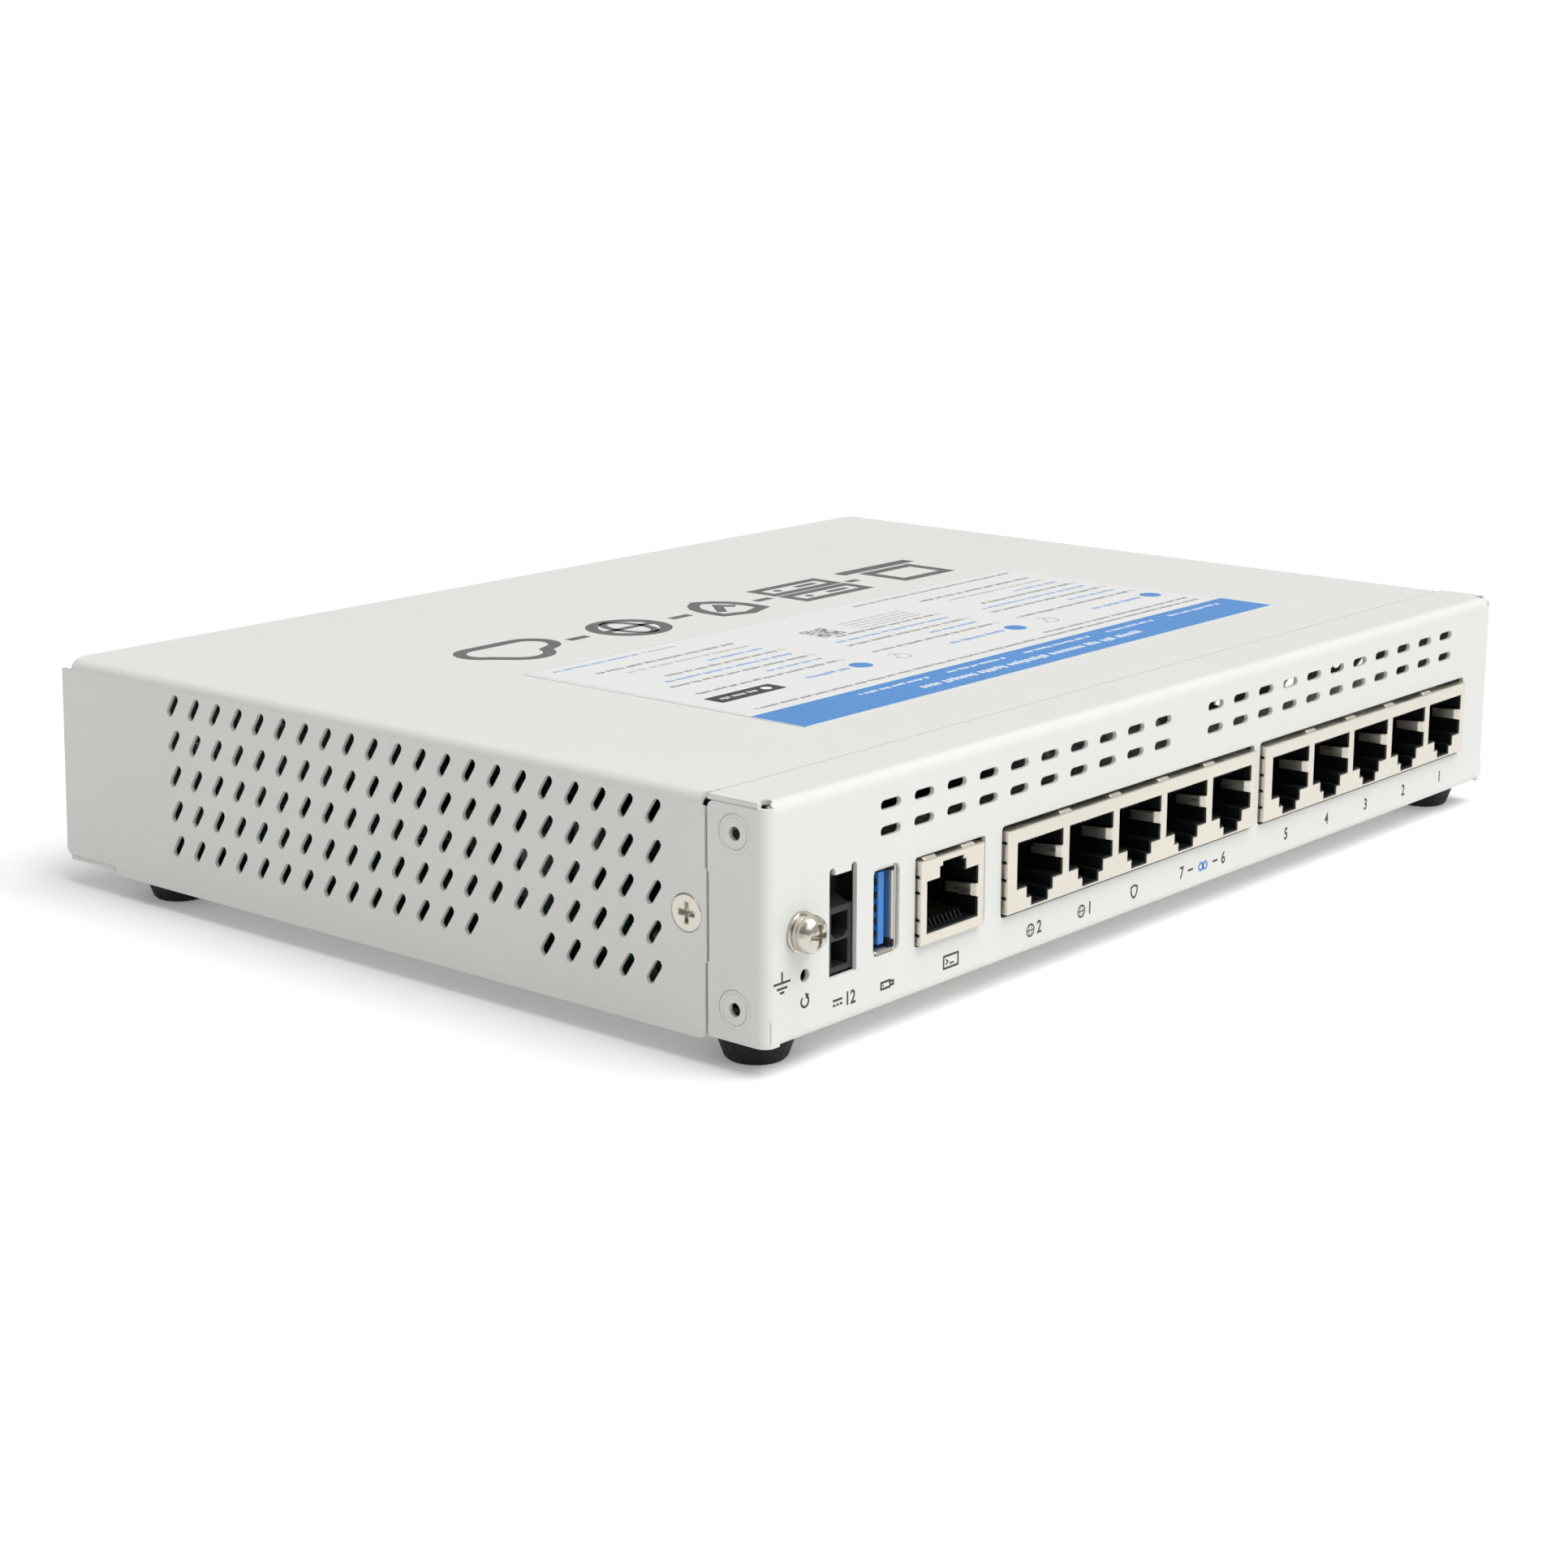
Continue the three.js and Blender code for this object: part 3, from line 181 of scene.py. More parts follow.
def smooth_path(points, steps=4):
    """Catmull-Rom points through a short list of bends."""
    out = []
    for i in range(len(points) - 1):
        p0 = Vector(points[max(i - 1, 0)])
        p1 = Vector(points[i])
        p2 = Vector(points[i + 1])
        p3 = Vector(points[min(i + 2, len(points) - 1)])
        for s in range(steps):
            t = s / steps
            out.append(tuple(0.5 * (2 * p1 + (p2 - p0) * t
                                    + (2 * p0 - 5 * p1 + 4 * p2 - p3) * t * t
                                    + (3 * p1 - p0 - 3 * p2 + p3) * t * t * t)))
    out.append(tuple(points[-1]))
    return out


class Ink:
    """Flat printing drawn in millimetres and laid on a face as thin film."""

    def __init__(self, place, film=0.022, sunk=0.02):
        self.bm = bmesh.new()
        self.place = place
        self.film = film
        self.sunk = sunk

    def patch(self, outline):
        prism(self.bm, outline, self.place, -self.sunk, self.film)

    def bar(self, u0, v0, u1, v1):
        self.patch([(u0, v0), (u1, v0), (u1, v1), (u0, v1)])

    def soft_bar(self, u0, v0, u1, v1, r):
        pts = []
        for cu, cv, a0 in ((u1 - r, v0 + r, -90), (u1 - r, v1 - r, 0),
                           (u0 + r, v1 - r, 90), (u0 + r, v0 + r, 180)):
            for i in range(5):
                a = math.radians(a0 + 22.5 * i)
                pts.append((cu + r * math.cos(a), cv + r * math.sin(a)))
        self.patch(pts)

    def disc(self, u, v, r, n=24):
        self.patch([(u + r * math.cos(2 * math.pi * i / n), v + r * math.sin(2 * math.pi * i / n))
                    for i in range(n)])

    def band(self, left, right, closed=False):
        """A closed film between two edges that run side by side."""
        new = self.bm.verts.new
        rows = [[new(self.place @ Vector((*p, z))) for p, z in
                 ((a, self.film), (b, self.film), (b, -self.sunk), (a, -self.sunk))]
                for a, b in zip(left, right)]
        n = len(rows)
        for i in range(n if closed else n - 1):
            here, there = rows[i], rows[(i + 1) % n]
            for k in range(4):
                m = (k + 1) % 4
                self.bm.faces.new((here[k], here[m], there[m], there[k]))
        if not closed:
            self.bm.faces.new(rows[0])
            self.bm.faces.new(rows[-1][::-1])

    def ring(self, u, v, r, w, a0=0.0, a1=360.0, n=28):
        whole = abs(a1 - a0) >= 360
        turns = [math.radians(a0 + (a1 - a0) * i / n) for i in range(n if whole else n + 1)]
        edge = [[(u + q * math.cos(t), v + q * math.sin(t)) for t in turns]
                for q in (r - w / 2, r + w / 2)]
        self.band(*edge, closed=whole)

    def line(self, points, w, closed=False):
        """A stroke of even width with mitred corners."""
        pts = [Vector(p) for p in points]
        n = len(pts)
        left, right = [], []
        for i, p in enumerate(pts):
            ahead = pts[(i + 1) % n] - p if closed or i < n - 1 else p - pts[i - 1]
            behind = p - pts[i - 1] if closed or i > 0 else ahead
            ahead, behind = ahead.normalized(), behind.normalized()
            side = Vector((-behind.y - ahead.y, behind.x + ahead.x)).normalized()
            reach = w / 2 / max(0.35, side.dot(Vector((-ahead.y, ahead.x))))
            left.append(tuple(p + side * reach))
            right.append(tuple(p - side * reach))
        self.band(left, right, closed)

    def figure(self, text, u, v, height, squeeze=0.86):
        """Figures from the built-in font, centred on (u, v)."""
        curve = bpy.data.curves.new("figure", "FONT")
        curve.body = text
        curve.size = height / 0.7
        curve.align_x = "CENTER"
        curve.align_y = "CENTER"
        curve.extrude = (self.film + self.sunk) / 2
        curve.offset = height * 0.03
        curve.resolution_u = 4
        holder = bpy.data.objects.new("figure", curve)
        bpy.context.scene.collection.objects.link(holder)
        bpy.context.view_layer.update()
        made = bpy.data.meshes.new_from_object(
            holder.evaluated_get(bpy.context.evaluated_depsgraph_get()))
        mid = (self.film - self.sunk) / 2
        made.transform(self.place @ Matrix.Translation((u, v, mid))
                       @ Matrix.Scale(squeeze, 4, (1, 0, 0)))
        self.bm.from_mesh(made)
        bpy.data.meshes.remove(made)
        bpy.data.objects.remove(holder)
        bpy.data.curves.remove(curve)

    def words(self, u0, u1, v, height, rng):
        """Upright ticks in word-length groups that stand for a line of small print."""
        u = u0
        tick, gap = height * 0.42, height * 0.24
        while u < u1 - tick:
            for _ in range(rng.randint(3, 9)):
                if u > u1 - tick:
                    break
                drop, rise = rng.choice(((0.38, 0.38), (0.38, 0.38), (0.38, 0.55), (0.55, 0.38)))
                self.bar(u, v - height * drop, u + tick, v + height * rise)
                u += tick + gap
            u += height * 0.5

    def piece(self, name, material, slot=None):
        return new_piece(name, self.bm, material)


# ------------------------------------------------------------------ finishes
def _node(tree, kind, x, y, sockets=None, **values):
    """A shader node with its settings and the fixed values of its inputs."""
    n = tree.nodes.new(kind)
    n.location = (x, y)
    for key, value in values.items():
        setattr(n, key, value)
    for key, value in (sockets or {}).items():
        n.inputs[key].default_value = value
    return n


def make_finish(name, base, rough, metal=0.0, tint=0.05, rough_by=0.06, grain=900.0, cloud=45.0,
                stretch=(1, 1, 1), bump=0.2, depth=0.02, ior=1.5, coat=0.0,
                soften=0.0, specks=0.0, speck_color=(0.12, 0.11, 0.1), edge_highlight=0.0, see=0.0, shine=0.5):
    """A finish with cloudy tone, uneven gloss and fine relief; lengths inside are millimetres."""
    material = bpy.data.materials.new(name)
    material.use_nodes = True
    tree = material.node_tree
    tree.nodes.clear()
    link = tree.links.new
    out = _node(tree, "ShaderNodeOutputMaterial", 900, 0)
    shader = _node(tree, "ShaderNodeBsdfPrincipled", 600, 0)
    link(shader.outputs["BSDF"], out.inputs["Surface"])
    shader.inputs["Metallic"].default_value = metal
    shader.inputs["IOR"].default_value = ior
    shader.inputs["Specular IOR Level"].default_value = shine
    shader.inputs["Coat Weight"].default_value = coat
    shader.inputs["Transmission Weight"].default_value = see
    coords = _node(tree, "ShaderNodeTexCoord", -1100, 0)
    mapping = _node(tree, "ShaderNodeMapping", -900, -200, {"Scale": stretch})
    link(coords.outputs["Object"], mapping.inputs["Vector"])

    broad = _node(tree, "ShaderNodeTexNoise", -650, 250, {"Scale": cloud, "Detail": 4.0})
    link(coords.outputs["Object"], broad.inputs["Vector"])
    fine = _node(tree, "ShaderNodeTexNoise", -650, -200, {"Scale": grain, "Detail": 3.0})
    link(mapping.outputs["Vector"], fine.inputs["Vector"])

    tone = _node(tree, "ShaderNodeMix", -300, 250, {
        6: (*[max(0.0, c * (1 - tint)) for c in base], 1),
        7: (*[min(1.0, c * (1 + tint)) for c in base], 1)}, data_type="RGBA")
    link(broad.outputs["Fac"], tone.inputs[0])
    color = tone.outputs[2]

    if specks > 0:
        dots = _node(tree, "ShaderNodeTexVoronoi", -650, 550, {"Scale": 85.0})
        link(coords.outputs["Object"], dots.inputs["Vector"])
        near = _node(tree, "ShaderNodeMapRange", -450, 550, {
            "From Min": specks, "From Max": specks * 0.6})
        link(dots.outputs["Distance"], near.inputs["Value"])
        pick = _node(tree, "ShaderNodeMath", -450, 750, {1: 0.72}, operation="GREATER_THAN")
        link(dots.outputs["Color"], pick.inputs[0])
        both = _node(tree, "ShaderNodeMath", -250, 600, operation="MULTIPLY")
        link(near.outputs["Result"], both.inputs[0])
        link(pick.outputs[0], both.inputs[1])
        spot = _node(tree, "ShaderNodeMix", 0, 300, {7: (*speck_color, 1)}, data_type="RGBA")
        link(both.outputs[0], spot.inputs[0])
        link(color, spot.inputs[6])
        color = spot.outputs[2]
    normal = None
    if soften > 0:
        edge = _node(tree, "ShaderNodeBevel", -650, -500, {"Radius": soften * MM}, samples=6)
        normal = edge.outputs["Normal"]
        if edge_highlight > 0:
            # Painted highlight: the colour is made a little paler where an edge turns.
            shape = _node(tree, "ShaderNodeNewGeometry", -650, -700)
            turn = _node(tree, "ShaderNodeVectorMath", -450, -600, operation="DOT_PRODUCT")
            link(edge.outputs["Normal"], turn.inputs[0])
            link(shape.outputs["Normal"], turn.inputs[1])
            rim_highlight_mask = _node(tree, "ShaderNodeMapRange", -250, -600, {
                "From Min": 0.995, "From Max": 0.9, "To Max": edge_highlight})
            link(turn.outputs["Value"], rim_highlight_mask.inputs["Value"])
            thin = _node(tree, "ShaderNodeMix", 200, 300, {
                7: (*[min(1.0, c * 1.08) for c in base], 1)}, data_type="RGBA")
            link(rim_highlight_mask.outputs["Result"], thin.inputs[0])
            link(color, thin.inputs[6])
            color = thin.outputs[2]
    link(color, shader.inputs["Base Color"])

    gloss = _node(tree, "ShaderNodeMapRange", -300, -50, {
        "From Min": 0.3, "From Max": 0.7, "To Min": max(0.02, rough - rough_by),
        "To Max": min(1.0, rough + rough_by)})
    link(fine.outputs["Fac"], gloss.inputs["Value"])
    link(gloss.outputs["Result"], shader.inputs["Roughness"])

    relief = _node(tree, "ShaderNodeBump", 200, -300, {"Strength": bump, "Distance": depth * MM})
    link(fine.outputs["Fac"], relief.inputs["Height"])
    if normal is not None:
        link(normal, relief.inputs["Normal"])
    link(relief.outputs["Normal"], shader.inputs["Normal"])
    return material


def add_traces(material, light):
    """Copper runs under the mask: fine bands in both directions, broken up by noise."""
    tree = material.node_tree
    link = tree.links.new
    shader = next(n for n in tree.nodes if n.type == "BSDF_PRINCIPLED")
    source = shader.inputs["Base Color"].links[0].from_socket
    coords = next(n for n in tree.nodes if n.type == "TEX_COORD")
    masks = []
    for direction, pitch, seed in (("X", 260.0, 0.0), ("Y", 230.0, 7.0)):
        wave = _node(tree, "ShaderNodeTexWave", -650, 900, {
            "Scale": pitch, "Distortion": 0.0}, bands_direction=direction)
        link(coords.outputs["Object"], wave.inputs["Vector"])
        patch = _node(tree, "ShaderNodeTexNoise", -650, 1150, {
            "Scale": 55.0, "W": seed}, noise_dimensions="4D")
        link(coords.outputs["Object"], patch.inputs["Vector"])
        lines = _node(tree, "ShaderNodeMath", -450, 900, {1: 0.62}, operation="GREATER_THAN")
        link(wave.outputs["Fac"], lines.inputs[0])
        where = _node(tree, "ShaderNodeMath", -450, 1150, {1: 0.52}, operation="GREATER_THAN")
        link(patch.outputs["Fac"], where.inputs[0])
        both = _node(tree, "ShaderNodeMath", -250, 1000, operation="MULTIPLY")
        link(lines.outputs[0], both.inputs[0])
        link(where.outputs[0], both.inputs[1])
        masks.append(both.outputs[0])
    either = _node(tree, "ShaderNodeMath", -50, 1000, operation="MAXIMUM")
    link(masks[0], either.inputs[0])
    link(masks[1], either.inputs[1])
    mix = _node(tree, "ShaderNodeMix", 350, 500, {7: (*light, 1)}, data_type="RGBA")
    link(either.outputs[0], mix.inputs[0])
    link(source, mix.inputs[6])
    link(mix.outputs[2], shader.inputs["Base Color"])


def finish_named(name):
    """The finish of that name, made on first use."""
    settings = bpy.context.scene.appliance_finish
    made = bpy.data.materials.get(name)
    if made:
        return made
    white = tuple(settings.paint_color)
    metal = tuple(settings.nickel_color)
    film = dict(grain=1900, bump=0.15, depth=0.02)
    # The edge setting in a recipe makes turned edges a little paler: a painted highlight, not wear.
    recipes = {
        "Powder coat": dict(base=white, rough=settings.paint_roughness, tint=0.018, rough_by=0.05,
                            grain=1500, bump=0.3, depth=0.03, soften=0.28, edge_highlight=0.6,
                            specks=0.012, speck_color=(0.42, 0.4, 0.37)),
        "Nickel": dict(base=metal, rough=0.31, metal=1.0, tint=0.07, rough_by=0.05, grain=420,
                       stretch=(0.3, 1, 4), bump=0.05, depth=0.01, soften=0.3, edge_highlight=0.5),
        "Bright nickel": dict(base=tuple(c * 0.86 for c in metal), rough=0.17, metal=1.0,
                              tint=0.05, rough_by=0.05, grain=900, bump=0.05, depth=0.01,
                              soften=0.5),
        "Zinc": dict(base=(0.62, 0.61, 0.58), rough=0.28, metal=1.0, tint=0.1, rough_by=0.1,
                     grain=1300, bump=0.2, depth=0.02, soften=0.1),
        "Rubber": dict(base=(0.008, 0.0085, 0.009), shine=0.28, rough=0.62, tint=0.3,
                       rough_by=0.1, grain=1700, bump=0.45, depth=0.04, specks=0.02,
                       speck_color=(0.09, 0.09, 0.09), soften=0.2),
        "Black plastic": dict(base=(0.006, 0.0065, 0.007), shine=0.35, rough=0.4, tint=0.25,
                              rough_by=0.1, grain=2600, bump=0.3, depth=0.02, soften=0.06),
        "Grey plastic": dict(base=(0.019, 0.0205, 0.023), shine=0.4, rough=0.46, tint=0.15,
                             rough_by=0.09, grain=2300, bump=0.35, depth=0.025, soften=0.1,
                             edge_highlight=0.5),
        "Blue plastic": dict(base=tuple(settings.tongue_color), rough=0.34, tint=0.08,
                             rough_by=0.06, grain=2200, bump=0.2, depth=0.015, soften=0.08),
        "Solder mask": dict(base=(0.012, 0.09, 0.045), rough=0.28, tint=0.15, rough_by=0.06,
                            grain=900, bump=0.2, depth=0.02, coat=0.2),
        "Chip mould": dict(base=(0.016, 0.017, 0.019), rough=0.5, tint=0.2, rough_by=0.1,
                           grain=2800, bump=0.4, depth=0.02),
        "Thermal silicone": dict(base=(0.32, 0.42, 0.47), rough=0.78, tint=0.12, grain=1500,
                                 bump=0.4, depth=0.05),
        "Drawn aluminium": dict(base=(0.6, 0.61, 0.62), rough=0.36, metal=1.0, tint=0.08,
                                rough_by=0.1, grain=500, stretch=(6, 0.2, 6), bump=0.3,
                                depth=0.02),
        "Contact gold": dict(base=(0.72, 0.52, 0.2), rough=0.24, metal=1.0, tint=0.1,
                             rough_by=0.07, grain=1500, bump=0.12, depth=0.01),
        "Light guide": dict(base=(0.86, 0.9, 0.92), rough=0.22, tint=0.03, grain=800, bump=0.1,
                            depth=0.02, see=0.45, ior=1.49),
        "White plastic": dict(base=(0.8, 0.8, 0.79), rough=0.5, tint=0.04, grain=1900, bump=0.25,
                              depth=0.02),
        "Label paper": dict(base=tuple(settings.label_color), rough=0.5, tint=0.012, rough_by=0.07,
                            grain=2600, bump=0.2, depth=0.015),
        "Dark ink": dict(base=tuple(settings.ink_color), rough=0.55, tint=0.25, rough_by=0.1,
                         grain=1900, bump=0.2, depth=0.02),
        "Grey mark": dict(base=(0.13, 0.13, 0.125), rough=0.52, tint=0.12, **film),
        "Grey ink": dict(base=(0.2, 0.2, 0.2), rough=0.55, tint=0.12, **film),
        "Pale ink": dict(base=(0.45, 0.46, 0.47), rough=0.55, tint=0.1, **film),
        "Blue ink": dict(base=tuple(settings.blue_ink), rough=0.42, tint=0.05,
                         rough_by=0.07, **film),
        "Light blue ink": dict(base=(0.16, 0.33, 0.66), rough=0.5, tint=0.08, **film),
        "White ink": dict(base=(0.86, 0.88, 0.9), rough=0.45, tint=0.03, **film),
    }
    if name not in recipes:
        raise RuntimeError(f"no finish is called {name}")
    made = make_finish(name, **recipes[name])
    if name == "Solder mask":
        add_traces(made, (0.03, 0.2, 0.09))
    return made


def dress(finish_name, *nodes):
    """Gives a finish to CAD nodes through their own material slots."""
    material = finish_named(finish_name)
    for name in nodes:
        if name not in frame["nodes"]:
            raise RuntimeError(f"the model has no node {name}")
        holder = frame["nodes"][name]
        if not holder.material_slots:
            holder.data.materials.append(material)
        for slot in holder.material_slots:
            slot.material = material


# ------------------------------------------------------------------ settings
class ApplianceFinish(bpy.types.PropertyGroup):
    """Colours and gloss of the appliance."""

    paint_color: bpy.props.FloatVectorProperty(
        name="Paint", description="Powder coat of the case", subtype="COLOR", size=3, min=0,
        max=1, default=(0.732, 0.735, 0.7))
    paint_roughness: bpy.props.FloatProperty(
        name="Paint roughness", description="Gloss of the powder coat", subtype="FACTOR", min=0,
        max=1, default=0.46)
    nickel_color: bpy.props.FloatVectorProperty(
        name="Nickel", description="Plated socket shells", subtype="COLOR", size=3, min=0, max=1,
        default=(0.74, 0.7, 0.62))
    tongue_color: bpy.props.FloatVectorProperty(
        name="Socket tongue", description="Blue plastic in the storage socket", subtype="COLOR",
        size=3, min=0, max=1, default=(0.035, 0.2, 0.6))
    label_color: bpy.props.FloatVectorProperty(
        name="Label", description="Sticker stock", subtype="COLOR", size=3, min=0, max=1,
        default=(0.76, 0.765, 0.74))
    ink_color: bpy.props.FloatVectorProperty(
        name="Ink", description="Dark printing", subtype="COLOR", size=3, min=0, max=1,
        default=(0.045, 0.045, 0.044))
    blue_ink: bpy.props.FloatVectorProperty(
        name="Blue ink", description="Band across the sticker", subtype="COLOR", size=3, min=0,
        max=1, default=(0.07, 0.26, 0.62))


class AppliancePrint(bpy.types.PropertyGroup):
    """Sizes of the printing."""

    caption_height: bpy.props.FloatProperty(
        name="Caption height", description="Height of the figures under the ports",
        unit="LENGTH", min=0.0005, max=0.004, default=0.00205)
    caption_line: bpy.props.FloatProperty(
        name="Caption line", description="Line width of the symbols", unit="LENGTH",
        min=0.0001, max=0.001, default=0.00035)
    mark_height: bpy.props.FloatProperty(
        name="Top mark height", description="Height of the large printed symbols",
        unit="LENGTH", min=0.005, max=0.03, default=0.0158)


class ApplianceStage(bpy.types.PropertyGroup):
    """Camera and light."""

    lens: bpy.props.FloatProperty(
        name="Lens", description="Focal length in millimetres", min=20, max=200, default=68.45)
    key_strength: bpy.props.FloatProperty(
        name="Key light", description="Strength of the soft sun", min=0, max=10, default=2.3)
    sky_strength: bpy.props.FloatProperty(
        name="Sky", description="Strength of the even surrounding light", min=0, max=3,
        default=0.36)


# ------------------------------------------------------------------ pieces
class APPLIANCE_OT_case(bpy.types.Operator):
    """Powder coat on the folded case"""

    bl_idname = "appliance.case"
    bl_label = "Paint the case"

    def execute(self, context):
        dress("Powder coat", "top_cover", "base_chassis")
        return {"FINISHED"}


class APPLIANCE_OT_feet(bpy.types.Operator):
    """Moulded rubber on the four feet"""

    bl_idname = "appliance.feet"
    bl_label = "Rubber feet"

    def execute(self, context):
        dress("Rubber", *[f"foot_{i}" for i in range(1, 5)])
        return {"FINISHED"}


class APPLIANCE_OT_fasteners(bpy.types.Operator):
    """Plating on screws, nuts, washers and standoffs"""

    bl_idname = "appliance.fasteners"
    bl_label = "Plate the fasteners"

    def execute(self, context):
        dress("Bright nickel", "cover_screw_left", "cover_screw_right", "ground_screw",
              "ground_washer", "ground_lock_washer")
        plain = ["ground_nut", "cover_nut_left", "cover_nut_right"]
        plain += [f"ear_nut_{side}_{i}" for side in ("left", "right") for i in (1, 2)]
        plain += [f"standoff_{i}" for i in range(1, 5)]
        plain += [f"board_screw_{i}" for i in range(1, 5)]
        plain += ["sink_screw_1", "sink_screw_2"]
        dress("Zinc", *plain)
        return {"FINISHED"}


class APPLIANCE_OT_sockets(bpy.types.Operator):
    """Shells, inserts and housings of the sockets, and the reset button"""

    bl_idname = "appliance.sockets"
    bl_label = "Finish the sockets"

    def execute(self, context):
        dress("Nickel", "wan_ports_shield", "lan_ports_shield", "console_shield", "usb_shell")
        dress("Black plastic", "wan_ports_insert", "lan_ports_insert", "console_insert",
              "reset_button")
        dress("Grey plastic", "dc_inlet_housing")
        dress("Blue plastic", "usb_tongue")
        dress("Contact gold", "dc_pin_1", "dc_pin_2")
        return {"FINISHED"}


class APPLIANCE_OT_board(bpy.types.Operator):
    """Board, chips, heat sink and the other parts inside the case"""

    bl_idname = "appliance.board"
    bl_label = "Finish the board"

    def execute(self, context):
        dress("Solder mask", "main_board")
        dress("Chip mould", "processor", "switch_chip", "port_chip", "memory_1", "memory_2",
              "flash_chip", "reset_switch", "coin_cell_holder")
        dress("Grey plastic", "power_inductor")
        dress("Thermal silicone", "thermal_pad")
        dress("Drawn aluminium", "heat_sink", "capacitor_1", "capacitor_2")
        dress("Bright nickel", "coin_cell")
        dress("White plastic", "light_strip")
        dress("Light guide", "light_guide")
        return {"FINISHED"}


def port_centres():
    """Centre line of every network port, in millimetres along the panel."""
    found = []
    for node in ("wan_ports_shield", "lan_ports_shield"):
        x0 = low(node).x / MM
        found += [x0 + SHIELD_WALL + PORT_WIDTH / 2 + PORT_PITCH * i for i in range(5)]
    return found


class APPLIANCE_OT_contacts(bpy.types.Operator):
    """Eight contact springs in every network and console socket, with the comb that guides them"""

    bl_idname = "appliance.contacts"
    bl_label = "Socket contacts"

    def execute(self, context):
        place = axes((1, 0, 0), (0, 1, 0), (0, 0, 1), Vector((0, PANEL_Y, FLOOR_Z)))
        springs = bmesh.new()
        combs = bmesh.new()
        down = smooth_path([(1.3, 18.25), (2.3, 18.0), (5.5, 16.9), (9.2, 15.8), (11.0, 16.2),
                            (12.6, 17.6)])
        up = smooth_path([(1.3, 9.95), (2.3, 10.15), (5.5, 11.2), (9.2, 12.4), (11.0, 12.0),
                          (12.6, 10.6)])
        console_x = (low("console_shield").x + high("console_shield").x) / 2 / MM
        for centre, path, z0, z1 in ([(c, down, 17.55, 18.62) for c in port_centres()]
                                     + [(console_x, up, 9.58, 10.75)]):
            for i in range(CONTACTS):
                x = centre + (i - (CONTACTS - 1) / 2) * CONTACT_PITCH
                ribbon(springs, path, 0.23, 0.24, place @ Matrix.Translation((x, 0, 0)))
            near, far = (0.6, 1.2) if path is up else (1.2, 0.6)
            for i in range(CONTACTS + 1):
                x = centre + (i - CONTACTS / 2) * CONTACT_PITCH
                rib = [(near, z0), (4.6, z0), (4.6, z1), (far, z1)]
                side = place @ Matrix.Translation((x, 0, 0)) @ Matrix(
                    ((0, 0, 1, 0), (1, 0, 0, 0), (0, 1, 0, 0), (0, 0, 0, 1)))
                prism(combs, rib, side, -0.17, 0.17)
        new_piece("socket_contacts", springs, finish_named("Contact gold"), smooth=True)
        new_piece("contact_combs", combs, finish_named("Black plastic"))
        return {"FINISHED"}


class APPLIANCE_OT_storage_springs(bpy.types.Operator):
    """Retaining spring, rolled lip and contacts of the storage socket"""

    bl_idname = "appliance.storage_springs"
    bl_label = "Storage socket metal"

    def execute(self, context):
        lo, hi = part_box("usb_shell")
        x = (lo.x + hi.x) / 2 / MM
        z = (lo.z + hi.z) / 2 / MM
        y0 = lo.y / MM
        metal = bmesh.new()
        # Leaf along the right wall, drawn in (y, x) and extruded over its height.
        tall = Matrix(((0, 0, 1, 0), (0, 1, 0, 0), (1, 0, 0, 0), (0, 0, 0, 1)))
        scale = Matrix.Scale(MM, 4)
        leaf = smooth_path([(y0 + 0.1, x + 2.42), (y0 + 0.5, x + 2.2), (y0 + 2.2, x + 1.95),
                            (y0 + 3.6, x + 1.8), (y0 + 5.0, x + 1.9), (y0 + 8.4, x + 2.42)])
        ribbon(metal, leaf, 5.3, 0.2,
               scale @ Matrix.Translation((0, 0, z + 0.25)) @ tall)
        # Lip rolled in at the lower edge of the mouth.
        lip = smooth_path([(y0 - 0.1, z - 6.6), (y0 + 0.1, z - 6.3), (y0 + 0.9, z - 6.0),
                           (y0 + 2.4, z - 6.05), (y0 + 5.2, z - 6.3)])
        ribbon(metal, lip, 2.05, 0.2, scale @ Matrix.Translation((x, 0, 0)))
        new_piece("storage_socket_springs", metal, finish_named("Bright nickel"),
                  smooth=True)
        gold = bmesh.new()
        front = low("usb_tongue").y / MM
        face = x - 0.3
        for i in range(5):
            cz = z - 4 + i * 2
            path = smooth_path([(front + 0.36, face + 0.3), (front + 0.5, face + 0.12),
                                (front + 4.2, face + 0.1), (front + 7.5, face + 0.3)])
            ribbon(gold, path, 0.36, 0.12, scale @ Matrix.Translation((0, 0, cz)) @ tall)
        if not lo.y / MM < front:
            raise RuntimeError("the socket tongue stands out of its shell")
        new_piece("storage_socket_contacts", gold, finish_named("Contact gold"),
                  smooth=True)
        return {"FINISHED"}


class APPLIANCE_OT_ear_rings(bpy.types.Operator):
    """Rings left in the ears where the nuts are pressed in"""

    bl_idname = "appliance.ear_rings"
    bl_label = "Pressed rings"

    def execute(self, context):
        bm = bmesh.new()
        for side in (-1, 1):
            tag = "left" if side < 0 else "right"
            for i in (1, 2):
                lo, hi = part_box(f"ear_nut_{tag}_{i}")
                cy, cz = (lo.y + hi.y) / 2, (lo.z + hi.z) / 2
                profile = [(2.15, -0.02), (2.4, 0.028), (2.62, 0.034), (2.9, 0.01), (3.1, -0.02)]
                rings = []
                n = 40
                for r, h in profile:
                    rings.append([bm.verts.new((side * (HALF_W + h * MM),
                                                cy + r * MM * math.cos(2 * math.pi * k / n),
                                                cz + r * MM * math.sin(2 * math.pi * k / n)))
                                  for k in range(n)])
                for a, b in zip(rings, rings[1:] + rings[:1]):
                    for k in range(n):
                        j = (k + 1) % n
                        bm.faces.new((a[k], a[j], b[j], b[k]))
        new_piece("ear_press_rings", bm, finish_named("Powder coat"),
                  smooth=True)
        return {"FINISHED"}


